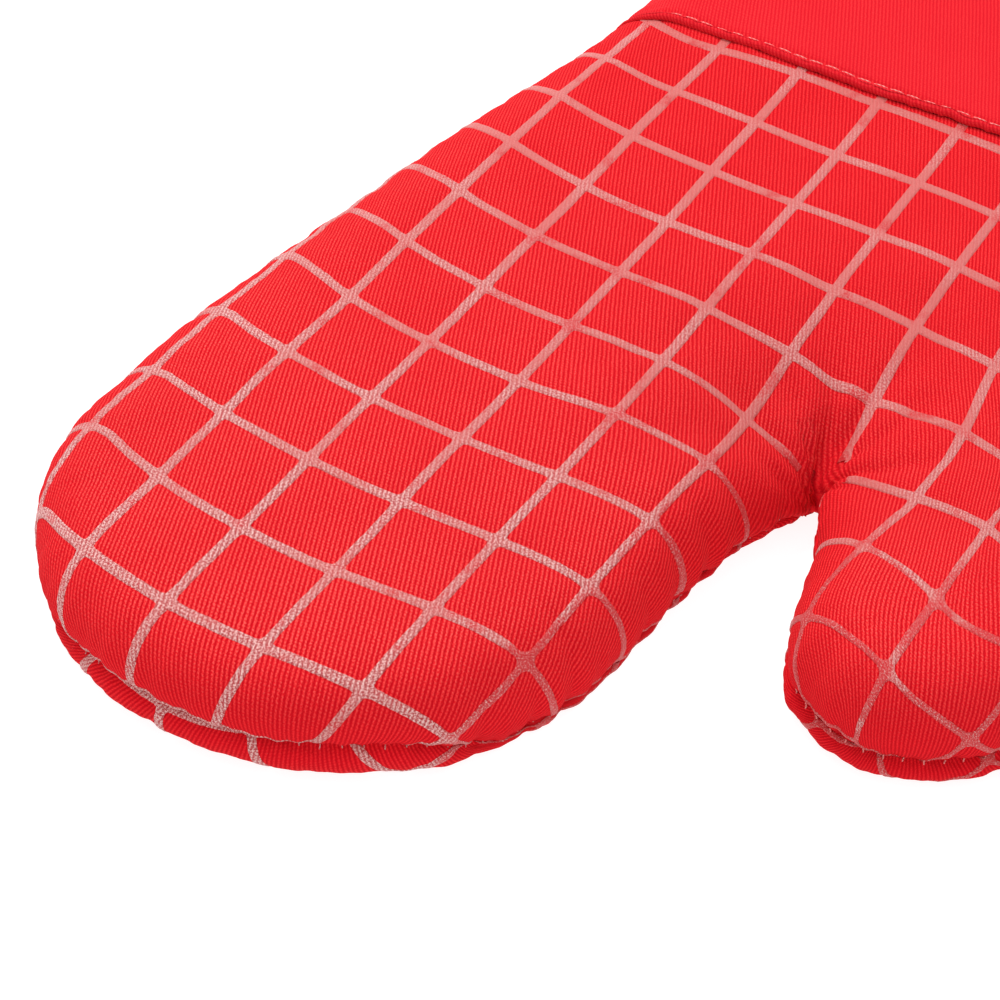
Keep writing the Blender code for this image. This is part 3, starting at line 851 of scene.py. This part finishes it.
def tubes(name, paths, radius, sides=6, spacing=0.4 * MM):
    """Short threads along polylines, with rounded ends, as one mesh."""
    verts, faces, coords = [], [], []
    turns = 2.0 * math.pi * np.arange(sides) / sides
    for number, path in enumerate(paths):
        path = np.asarray(path)
        ways = unit(np.gradient(path, axis=0), 1e-12)
        side = np.cross(ways, (0.0, 0.0, 1.0))
        weak = np.linalg.norm(side, axis=1) < 0.05
        side[weak] = np.cross(ways[weak], (1.0, 0.0, 0.0))
        side = unit(side)
        over = np.cross(side, ways)
        stations = [(path[0] - ways[0] * radius * 0.8, 0.35, side[0], over[0])]
        stations += [(p, 1.0, a, b) for p, a, b in zip(path, side, over)]
        stations.append((path[-1] + ways[-1] * radius * 0.8, 0.35, side[-1], over[-1]))
        start = len(verts)
        for k, (p, share, a, b) in enumerate(stations):
            for m, turn in enumerate(turns):
                verts.append(p + (a * math.cos(turn) + b * math.sin(turn)) * radius * share)
                coords.append((number * 0.01 + m * spacing, k * spacing))
        faces += ring_faces(len(stations), sides, start)
        faces.append(tuple(start + m for m in reversed(range(sides))))
        faces.append(tuple(len(verts) - sides + m for m in range(sides)))
    return add_piece(name, new_mesh(name, verts, faces, coords))


def seam_stitches(shell, outline):
    """Stitches bridging the crease between the panels, for the thumb and for the rest."""
    along = read(shell, "along")
    on = np.flatnonzero(read(shell, "edge_distance") < 0.02 * MM)
    on = on[np.argsort(along[on])]
    points, normals = coordinates(shell)[on], vertex_normals(shell)[on]
    plan, along = plan_of(shell)[on], along[on]
    main, thumb = [], []
    for number in range(1, int(outline.along[-1] / SEAM_STITCH_PITCH)):
        at = number * SEAM_STITCH_PITCH
        if abs(at - outline.along[outline.crotch]) < 1.2 * MM:
            continue
        spot = sampled(at, along, points)
        out = unit(sampled(at, along, normals) * (1.0, 1.0, 0.0), 1e-6)
        where = sampled(at, along, plan)[None]
        hidden = max(inner_side(where)[0], little_tip(where)[0])
        slant = np.cross(out, (0.0, 0.0, 1.0)) * 0.25 * MM * noise.noise((at * 900.0, 0.0, 4.2))
        reach = (0.75 + 0.2 * noise.noise((at * 700.0, 3.0, 1.0))) * (1.0 - 0.75 * hidden) * MM
        proud = 0.52 if in_thumb(where)[0] else 0.38 - 0.38 * hidden
        path = []
        for share in (-1.0, -0.5, 0.0, 0.5, 1.0):
            bow = (proud + 0.25 * share * share * (1.0 - hidden)) * MM
            path.append(spot + out * bow + slant * share + np.array((0.0, 0.0, reach * share)))
        (thumb if in_thumb(where)[0] else main).append(path)
    return main, thumb


def cuff_stitches(raised_maps):
    """Stitches in a line across the cuff of each panel."""
    xs = np.linspace(-11.5 * MM, 138.5 * MM, 700)
    sink = np.array((-0.08, 0.08, 0.1, 0.1, 0.08, -0.08))[:, None] * MM
    paths = []
    for cloth in raised_maps:
        points, normals, off, _ = cloth.find(np.c_[xs, cuff_edge(xs) + CUFF_STITCH_IN])
        keep = off < 0.4 * MM
        points, normals = points[keep], normals[keep]
        way = ways_along(points)
        at = 1.5 * MM
        while at + 3.0 * MM < way[-1]:
            span = at + np.linspace(0.0, 2.9, 6) * MM
            paths.append(sampled(span, way, points) + sampled(span, way, normals) * sink)
            at += CUFF_STITCH_PITCH
    return paths


# --- Lining and hem ----------------------------------------------------------------------------


def lining_outline(outline):
    """The pocket's widest line, inside the padding, rounded where it passes the crotch."""
    depth = LINING_DEPTH + SEAM_INSET
    ring = outline.ring(depth, LINING_STEP)
    crotch = np.array(CROTCH) * MM
    along = outline.nearest(ring)[2]
    before = ring[along < outline.along[outline.crotch]]
    after = ring[along >= outline.along[outline.crotch]]
    first = math.atan2(*(before[-1] - crotch)[::-1]) % (2.0 * math.pi)
    last = math.atan2(*(after[0] - crotch)[::-1])
    turn = np.linspace(first, last, 9)[1:-1]
    bend = crotch + np.c_[np.cos(turn), np.sin(turn)] * depth
    points = np.vstack([before, bend, after])
    points[[0, -1], 1] = MOUTH_Y
    return Outline(points, len(before) + 4)


def lining_mesh(outline):
    """The pocket's cloth: a domed front and a flatter back, joined at the sides."""
    inner = lining_outline(outline)
    loop = closed_loop(inner.points, LINING_STEP)
    field = staggered(loop, LINING_STEP, 3.5 * MM)
    field = field[inner.nearest(field)[0] > 7.5 * MM]
    rings = np.vstack([inner.ring(depth * MM, LINING_STEP) for depth in (1.2, 3.0, 5.5)])
    points = np.vstack([loop, field, rings[inside(rings, loop)]])
    plan, faces = triangulated(points, loop_edges(loop), loop)
    distance = inner.nearest(plan)[0]
    at_rim = distance < ON_SEAM
    dome = np.sqrt(1.0 - (1.0 - np.clip(distance / LINING_ROUND, 0.0, 1.0)) ** 2)
    crumple = 0.5 * MM * soft_noise(plan, 13.0 * MM, 8.8) + 0.25 * MM * soft_noise(plan, 5.0 * MM, 2.8)
    crumple *= smoothstep((MOUTH_Y - plan[:, 1]) / (16.0 * MM))  # smooth under the hem
    rise = LINING_RISE * (1.0 - 0.2 * towards_tips(plan))
    rise *= 0.25 + 0.75 * smoothstep((crotch_distance(plan) - 6.0 * MM) / CROTCH_REACH)
    front = np.c_[plan, SEAM_Z + dome * (rise + crumple)]
    back = np.c_[plan, SEAM_Z + dome * (crumple - 0.9 * MM)]
    zones = np.where(in_thumb(centres_of(plan, faces)), THUMB, MAIN)
    return two_panels("pocket", front, back, [f[::-1] for f in faces], at_rim, zones,
                      {"lining_u": plan[:, 0], "lining_v": plan[:, 1], "edge_distance": distance})


def mouth_loop(mesh, co, counts=(200, 180)):
    """An open mouth as one closed ring: evenly spaced points along its front and then its back."""
    at_mouth = np.abs(co[:, 1] - place(np.array((0.0, MOUTH_Y, 0.0)))[1]) < 0.6 * MM
    front = vertices_of(mesh, read(mesh, "back") == 0)
    halves = [co[at_mouth & (front == side)] for side in (True, False)]
    halves = [half[np.argsort(half[:, 0])] for half in halves]
    halves[1] = np.vstack([halves[0][:1], halves[1], halves[0][-1:]])
    even = []
    for half, count in zip(halves, counts):
        way = ways_along(half)
        even.append(sampled(np.linspace(0.0, way[-1], count), way, half))
    return np.vstack([even[0], even[1][::-1][1:-1]])


# The hem in section, in millimetres: beyond the mouth, off the cloth, and share of the way from the
# cuff to the lining
HEM_SECTION = (
    (-2.6, 0.10, 0.0), (-2.5, 0.55, 0.0), (-1.2, 0.75, 0.0), (0.2, 0.75, 0.02), (1.3, 0.6, 0.12),
    (1.9, 0.3, 0.35), (2.05, 0.0, 0.6), (1.7, -0.1, 0.87), (0.6, -0.5, 1.0), (-1.4, -0.9, 1.0),
    (-3.0, -0.9, 1.0), (-3.4, 0.3, 1.0),
)


def mouth_hem(name, out, into):
    """A bound hem that rolls over the mouth's edge from the cuff to the lining."""
    away = unit((out - into) * (1.0, 0.0, 1.0), 1e-6)
    count = len(out)
    phase = np.arange(count) * 2.0 * math.pi / count
    rows = []
    for reach, lift, share in HEM_SECTION:
        row = out + (into - out) * share + away * lift * MM
        row[:, 1] = np.minimum(row[:, 1], out[:, 1].max()) + reach * MM
        row[:, 1] += 0.15 * MM * np.sin(phase * 37.0) * (reach > 0.5)
        row[:, 2] = np.maximum(row[:, 2], 0.0)
        rows.append(row)
    faces = ring_faces(len(rows), count)
    depth = np.arange(len(rows)) * 1.2 * MM
    uv = np.c_[np.tile(ways_along(out), len(rows)), np.repeat(depth, count)]
    return add_piece(name, subdivided(new_mesh(name, np.vstack(rows), faces, uv), 1))


# --- Hanging tape ------------------------------------------------------------------------------


def tape_line(outer, root, reach, count):
    """A round loop and a small root round the hinge, joined by straight runs, with outward directions."""
    lean = math.asin((outer - root) / reach)
    path, ways = [], []
    for radius, centre_y, first, last, steps in (
        (outer, reach, -lean, math.pi + lean, 30), (root, 0.0, math.pi + lean, 2.0 * math.pi - lean, 12),
    ):
        for angle in np.linspace(first, last, steps + 1):
            out = np.array((math.cos(angle), math.sin(angle)))
            path.append(out * radius + np.array((0.0, centre_y)))
            ways.append(out)
    path, ways = np.array(path + path[:1]), np.array(ways + ways[:1])
    way = ways_along(path)
    at = np.linspace(0.0, way[-1], count, endpoint=False)
    return at, sampled(at, way, path), unit(sampled(at, way, ways))


def hanging_tape(name):
    """A narrow twill tape standing on its edge, doubled into a loop round its hinge."""
    low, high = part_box("hanging_loop")
    hinge = np.array(joints["loop_swing"]["pos_m"])
    thick_mm = 1.5
    clear = 0.05 * MM
    outer = (high.x - low.x) / 2.0 - clear
    at, spot, out = tape_line(outer, hinge[1] - low.y - clear, high.y - hinge[1] - outer - clear, 240)
    levels = 0.5 + 0.49 * np.linspace(-1.0, 1.0, 13)
    around = [(0.0, 1.0, z) for z in levels] + [(-thick_mm, -1.0, z) for z in levels[::-1]]
    verts, coords = [], []
    for k, a in enumerate(at):
        for depth, face, share in around:
            edge = min(share, 1.0 - share)
            thin = 0.35 * math.exp(-edge / 0.05) + 0.10 * math.exp(-((edge - 0.14) / 0.04) ** 2)
            p = hinge[:2] + spot[k] + out[k] * (depth - thin * face) * MM
            verts.append((*p, low.z + (high.z - low.z) * share))
            coords.append((a, (high.z - low.z) * share + (0.02 if depth else 0.0)))
    faces = [(a, d, c, b) for a, b, c, d in ring_faces(len(at), len(around), closed=True)]
    return add_piece(name, new_mesh(name, verts, faces, coords))


def tape_tack(name):
    """Thread turns that hold the tape's root to the hem."""
    low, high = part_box("hanging_loop")
    hinge = joints["loop_swing"]["pos_m"]
    bottom, top = 0.3 * MM, high.z + 0.25 * MM
    near = low.y - 1.4 * MM
    paths = []
    for offset in (-0.35, 0.0, 0.35):
        far = hinge[1] + (0.1 + 0.3 * abs(offset)) * MM
        corners = [
            (near, top - 1.2 * MM), (low.y + 0.3 * MM, top), (far - 0.3 * MM, top),
            (far, top - 0.5 * MM), (far, bottom + 0.4 * MM), (far - 0.3 * MM, bottom),
            (low.y, bottom), (near, bottom + 0.8 * MM),
        ]
        paths.append([(hinge[0] + offset * MM, y, z) for y, z in corners])
    return tubes(name, paths, 0.16 * MM)


# --- Materials ---------------------------------------------------------------------------------


class Nodes:
    """A short way to write a material's node tree."""

    def __init__(self, name):
        self.material = bpy.data.materials.new(name)
        self.material.use_nodes = True
        self.tree = self.material.node_tree
        self.shader = self.tree.nodes["Principled BSDF"]

    def cloth(self):
        """The place on the cloth in millimetres, whole and as two numbers."""
        uv = self.add("ShaderNodeUVMap", uv_map="Cloth").outputs["UV"]
        split = self.add("ShaderNodeSeparateXYZ", {0: uv})
        return uv, split.outputs["X"], split.outputs["Y"]

    def add(self, kind, inputs=None, **settings):
        node = self.tree.nodes.new(kind)
        for key, value in settings.items():
            setattr(node, key, value)
        self.feed(node, inputs or {})
        return node

    def feed(self, node, inputs):
        for key, value in inputs.items():
            if isinstance(value, bpy.types.NodeSocket):
                self.tree.links.new(value, node.inputs[key])
            else:
                node.inputs[key].default_value = value

    def math(self, operation, a, b=0.0, c=0.0, clamp=False):
        inputs = {0: a, 1: b, 2: c}
        return self.add("ShaderNodeMath", inputs, operation=operation, use_clamp=clamp).outputs[0]

    def times(self, a, b):
        return self.math("MULTIPLY", a, b)

    def plus(self, a, b, share):
        """a, and a share of b."""
        return self.math("MULTIPLY_ADD", b, share, a)

    def sine(self, phase):
        return self.math("SINE", phase)

    def wave(self, phase):
        """A sine from 0 to 1."""
        return self.plus(0.5, self.sine(phase), 0.5)

    def mix(self, factor, *colours):
        a, b = ((*c, 1.0) if isinstance(c, tuple) else c for c in colours)
        node = self.add("ShaderNodeMix", data_type="RGBA")
        self.feed(node, {"Factor": factor, "A": a, "B": b})
        return node.outputs["Result"]

    def noise(self, vector, scale, detail=2.0, roughness=0.5):
        inputs = {"Vector": vector, "Scale": scale, "Detail": detail, "Roughness": roughness}
        return self.add("ShaderNodeTexNoise", inputs).outputs["Fac"]

    def span(self, value, low, high, to_low=0.0, to_high=1.0):
        inputs = {"Value": value, "From Min": low, "From Max": high, "To Min": to_low, "To Max": to_high}
        return self.add("ShaderNodeMapRange", inputs).outputs["Result"]

    def finish(self, colour, roughness, height, relief, depth, uniform=None):
        """Feeds the shader. uniform holds what is the same all over."""
        bump = self.add("ShaderNodeBump", {"Height": height, "Strength": relief, "Distance": depth})
        looks = {"Base Color": colour, "Roughness": roughness, "Normal": bump.outputs["Normal"]}
        self.feed(self.shader, {**looks, **(uniform or {})})
        return self.material


def twill_height(nodes, uv):
    """Ribs across one direction, broken into beads by the weft."""
    turned = nodes.add("ShaderNodeMapping", {"Vector": uv, "Rotation": (0.0, 0.0, -RIB_ANGLE)})
    split = nodes.add("ShaderNodeSeparateXYZ", {0: turned.outputs["Vector"]})
    phase = nodes.times(split.outputs["X"], 2.0 * math.pi / RIB_PITCH_MM)
    phase = nodes.plus(phase, nodes.noise(uv, 0.35, 2.0), 1.2)
    phase = nodes.plus(phase, nodes.noise(uv, 1.3, 2.0, 0.6), 2.4)
    weft = nodes.times(split.outputs["Y"], 2.0 * math.pi / (RIB_PITCH_MM * 0.9))
    bead = nodes.wave(nodes.plus(weft, phase, 0.5))
    fibre = nodes.noise(uv, 4.0, 3.0, 0.75)
    height = nodes.times(nodes.wave(phase), nodes.plus(0.6, bead, 0.4))
    return nodes.plus(height, fibre, 0.7), fibre


def twill(name, deep, face, pale, haze=0.0, relief=0.8):
    """Cotton twill: painted shade darkens the valleys between ribs, and it is paler where fibres stand up.
    With haze, the nap is rubbed pale towards the fingertips.
    """
    nodes = Nodes(name)
    uv, _, v = nodes.cloth()
    height, fibre = twill_height(nodes, uv)
    broad = nodes.noise(uv, 0.035, 3.0, 0.6)
    # The deep colour in the rib valleys is painted shade.
    colour = nodes.mix(nodes.span(height, 0.34, 1.1), deep, face)
    from_edge = nodes.add("ShaderNodeAttribute", attribute_name="edge_distance").outputs["Fac"]
    rubbed = nodes.span(v, -20.0, -170.0, 0.40, 0.40 + haze)
    rubbed = nodes.times(rubbed, nodes.span(from_edge, 2.0 * MM, 11.0 * MM, 0.15, 1.0))
    fuzz = nodes.span(nodes.plus(fibre, height, 0.30), 0.70, 1.02)
    colour = nodes.mix(nodes.times(fuzz, rubbed), colour, pale)
    colour = nodes.mix(nodes.span(broad, 0.35, 0.65, 0.0, 0.20), colour, deep)
    return nodes.finish(colour, nodes.span(fibre, 0.3, 0.7, 0.85, 1.0), height, relief, 0.2 * MM, {
        "Sheen Weight": 0.03, "Sheen Roughness": 0.5, "Sheen Tint": (1.0, 0.35, 0.3, 1.0),
        "Specular IOR Level": 0.03})


def silicone():
    """Translucent silicone print: it follows the ribs, and is worn rough towards the fingertips, where small
    pale specks are painted glints.
    """
    nodes = Nodes("silicone")
    uv, _, v = nodes.cloth()
    ribs, _ = twill_height(nodes, uv)
    fine = nodes.noise(uv, 3.0, 3.0, 0.85)
    thin = nodes.noise(uv, 0.11, 3.0, 0.6)
    patch = nodes.noise(uv, 0.045, 2.0)
    worn = nodes.span(v, -40.0, -190.0, 0.05, 0.95)
    worn = nodes.math("ADD", worn, nodes.span(patch, 0.38, 0.62, -0.3, 0.3), clamp=True)
    speck = nodes.plus(fine, ribs, 0.12)
    smooth = nodes.mix(nodes.span(speck, 0.45, 0.75), (0.56, 0.085, 0.080), (0.63, 0.175, 0.160))
    # Worn silicone: the pale speck colour is painted glints, the dark speck colour is a darker red.
    worn_and_painted_glints = nodes.mix(nodes.span(speck, 0.55, 0.67), (0.42, 0.03, 0.035), (0.80, 0.50, 0.47))
    colour = nodes.mix(worn, smooth, worn_and_painted_glints)
    rubbed_off = nodes.add("ShaderNodeAttribute", attribute_name="bare").outputs["Fac"]
    thin = nodes.plus(thin, rubbed_off, 0.26)
    left_on = nodes.plus(fine, rubbed_off, -0.06)
    bare = nodes.times(nodes.span(thin, 0.56, 0.66), nodes.span(left_on, 0.60, 0.46))
    colour = nodes.mix(nodes.times(bare, 0.92), colour, (0.56, 0.010, 0.016))
    height = nodes.plus(nodes.times(fine, 1.5), ribs, 0.35)
    return nodes.finish(colour, nodes.span(fine, 0.3, 0.7, 0.35, 0.6), height, 0.75, 0.25 * MM,
                        {"Specular IOR Level": 0.3})


def plain_weave(name, deep, face, count_mm=0.7):
    """Natural cotton: a plain weave with slubs."""
    nodes = Nodes(name)
    uv, u, v = nodes.cloth()
    step = 2.0 * math.pi / count_mm
    weave = nodes.times(nodes.sine(nodes.times(u, step)), nodes.sine(nodes.times(v, step)))
    fibre = nodes.noise(uv, 3.0, 3.0, 0.7)
    slub = nodes.noise(uv, 0.22, 3.0)
    height = nodes.plus(fibre, weave, 0.3)
    # Darker where the weave sinks is painted shade; the fibre noise in the same mix is the cotton's own
    # uneven tone.
    colour = nodes.mix(nodes.span(height, 0.2, 0.8), deep, face)
    colour = nodes.mix(nodes.span(slub, 0.35, 0.7, 0.0, 0.35), colour, deep)
    return nodes.finish(colour, nodes.span(fibre, 0.3, 0.7, 0.85, 1.0), height, 0.7, 0.2 * MM,
                        {"Sheen Weight": 0.15, "Specular IOR Level": 0.2})


def thread(name, deep, face):
    """Twisted sewing thread."""
    nodes = Nodes(name)
    uv, u, v = nodes.cloth()
    twist = nodes.sine(nodes.plus(nodes.times(u, 5.0), v, 9.0))
    fibre = nodes.noise(uv, 2.0, 2.0)
    height = nodes.plus(fibre, twist, 0.5)
    # Darker in the twist's grooves is painted shade; the fibre noise in the same mix is the thread's own
    # uneven tone.
    colour = nodes.mix(nodes.span(height, 0.1, 0.9), deep, face)
    return nodes.finish(colour, nodes.span(fibre, 0.3, 0.7, 0.5, 0.7), height, 0.5, 0.1 * MM)


# --- Light, floor and camera -------------------------------------------------------------------


def add_floor():
    """A lit table, just below the mitt."""
    bpy.ops.mesh.primitive_plane_add(size=12.0, location=(0.0, 0.0, -0.3 * MM))
    floor = bpy.context.object
    floor.name = "floor"
    nodes = Nodes("floor")
    nodes.feed(nodes.shader, {
        "Base Color": (0.3, 0.3, 0.3, 1.0), "Emission Color": (1.0, 1.0, 1.0, 1.0),
        "Emission Strength": 0.88, "Roughness": 0.9, "Specular IOR Level": 0.0,
    })
    floor.data.materials.append(nodes.material)


def add_key_light(spot, size, power, target=(0.0, -0.05, 0.0)):
    light = bpy.data.lights.new("key", "AREA")
    light.shape = "DISK"
    light.size = size
    light.energy = power
    obj = add_piece("key", light)
    obj.location = spot
    obj.rotation_euler = (Vector(target) - Vector(spot)).to_track_quat("-Z", "Y").to_euler()


def add_studio():
    world = bpy.data.worlds.new("studio")
    bpy.context.scene.world = world
    world.use_nodes = True
    tree = world.node_tree
    height = tree.nodes.new("ShaderNodeSeparateXYZ")
    tree.links.new(tree.nodes.new("ShaderNodeTexCoord").outputs["Generated"], height.inputs[0])
    brighter_above = tree.nodes.new("ShaderNodeMapRange")
    brighter_above.inputs["To Min"].default_value = 1.0
    brighter_above.inputs["To Max"].default_value = 1.15
    tree.links.new(height.outputs["Z"], brighter_above.inputs["Value"])
    background = tree.nodes["Background"].inputs
    background["Color"].default_value = (1.0, 1.0, 1.0, 1.0)
    tree.links.new(brighter_above.outputs["Result"], background["Strength"])
    add_key_light((-0.75, 0.45, 1.25), 0.7, 14.0)
    bpy.context.scene.view_settings.view_transform = "Standard"


CAMERA_PLACE = (228.3, -485.3, 391.4)  # millimetres, pattern frame
CAMERA_LOOK = (-0.3335, 0.6456, -0.6870)
CAMERA_RIGHT = (0.8528, 0.5173, 0.0721)
CAMERA_LENS = 107.9


def add_camera():
    camera = bpy.data.cameras.new("camera")
    camera.lens = CAMERA_LENS
    camera.sensor_width = 36.0
    obj = add_piece("camera", camera)
    look = Vector(CAMERA_LOOK).normalized()
    right = Vector(CAMERA_RIGHT)
    right = (right - look * right.dot(look)).normalized()
    axes = Matrix((right, right.cross(look), -look)).transposed().to_4x4()
    obj.matrix_world = Matrix.Translation(Vector(place(np.array(CAMERA_PLACE) * MM))) @ axes
    bpy.context.scene.camera = obj


# --- Build -------------------------------------------------------------------------------------


def finish_piece(obj, material, bend, stood_for=()):
    """Gives a piece its material, bakes in the placement of the fingers' and the thumb's pieces and attaches
    any other to its body, and hides the CAD nodes that it stands for.
    """
    obj.data.materials.clear()
    obj.data.materials.append(material)
    if bend == "fingers":
        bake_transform(obj)
    elif bend == "thumb":
        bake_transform(obj)
    else:
        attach(obj, bend)
    if stood_for:
        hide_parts(*stood_for)


add_camera()
add_studio()
add_floor()

fingers = curve_through(FINGER_LINE, SIM_STEP * 0.8)
outline = Outline(np.vstack([fingers, curve_through(THUMB_LINE, SIM_STEP * 0.8)[1:]]), len(fingers) - 1)
coarse = shell_mesh(outline)
inflate(coarse)
shell = refine(coarse, 2)
pucker(shell)

# The first colour of each twill is the painted shade of its rib valleys, also used for broad darker patches
# at random.
red = twill("red_twill", (0.49, 0.003, 0.009), (0.78, 0.008, 0.016), (0.88, 0.13, 0.11), 0.6)
cuff_red = twill("cuff_twill", (0.54, 0.006, 0.015), (0.68, 0.014, 0.021), (0.80, 0.07, 0.07), 0.1, 0.45)
print_silicone = silicone()
# The first colour of each thread is partly painted shade in its twist grooves.
seam_thread = thread("seam_thread", (0.45, 0.08, 0.08), (0.62, 0.24, 0.22))
pink_thread = thread("pink_thread", (0.60, 0.09, 0.09), (0.80, 0.28, 0.25))
# The cotton's first colour is partly painted shade in the weave's hollows.
cotton = plain_weave("natural_cotton", (0.55, 0.47, 0.36), (0.82, 0.75, 0.64))

zone = read(shell, "zone")
is_back = read(shell, "back")
raised = raise_cuff(shell)
raised_shell = shell.copy()
set_coordinates(raised_shell, raised)
raised_maps = []
for side, flag in (("front", 0), ("back", 1)):
    this_side = is_back == flag
    main = take_faces(f"{side}_cover", shell, this_side & (zone == MAIN), side)
    thumb = take_faces(f"{side}_thumb_cover", shell, this_side & (zone == THUMB), side)
    cuff = take_cuff(f"{side}_cuff", shell, raised, side)
    made = lattice(side, ClothMap(shell, side, print_of(shell, side)), outline)
    main_grid = add_lattice(f"{side}_grid", made, False)
    thumb_grid = add_lattice(f"{side}_thumb_grid", made, True)
    raised_maps.append(ClothMap(raised_shell, side, plan_of(shell)))
    hand_and_fingers = [f"{kind}_{side}_{z}" for kind in ("cover", "wadding") for z in ("hand", "fingers")]
    finish_piece(main, red, "fingers", hand_and_fingers)
    finish_piece(thumb, red, "thumb", [f"cover_{side}_thumb", f"wadding_{side}_thumb"])
    finish_piece(main_grid, print_silicone, "fingers",
                 [f"grid_{side}_hand", f"grid_{side}_fingers"])
    finish_piece(thumb_grid, print_silicone, "thumb", [f"grid_{side}_thumb"])
    finish_piece(cuff, cuff_red, "hand", [f"cuff_{side}"])

main_paths, thumb_paths = seam_stitches(shell, outline)
finish_piece(tubes("seam_stitches", main_paths, 0.13 * MM), seam_thread, "fingers",
             [f"seam_thread_{part}" for part in ("left", "right", "crotch", "fingers")])
finish_piece(tubes("thumb_seam_stitches", thumb_paths, 0.15 * MM), pink_thread, "thumb",
             ["seam_thread_thumb"])
finish_piece(tubes("cuff_stitches", cuff_stitches(raised_maps), 0.19 * MM), pink_thread, "hand")

pocket = subdivided(lining_mesh(outline), 1)
for name, part, bend, zones in (
    ("lining", MAIN, "fingers", ("hand", "fingers")), ("thumb_lining", THUMB, "thumb", ("thumb",)),
):
    obj = take_faces(name, pocket, read(pocket, "zone") == part, "lining")
    stood_for = [f"lining_{side}_{z}" for side in ("front", "back") for z in zones]
    finish_piece(obj, cotton, bend, stood_for)

outer = mouth_loop(shell, raised)
inner = mouth_loop(pocket, coordinates(pocket))
finish_piece(mouth_hem("mouth_hem", outer, inner), cuff_red, "hand", ["hem_front", "hem_back"])
finish_piece(hanging_tape("hanging_tape"), cuff_red, "loop", ["hanging_loop"])
finish_piece(tape_tack("tape_tack"), pink_thread, "hand")
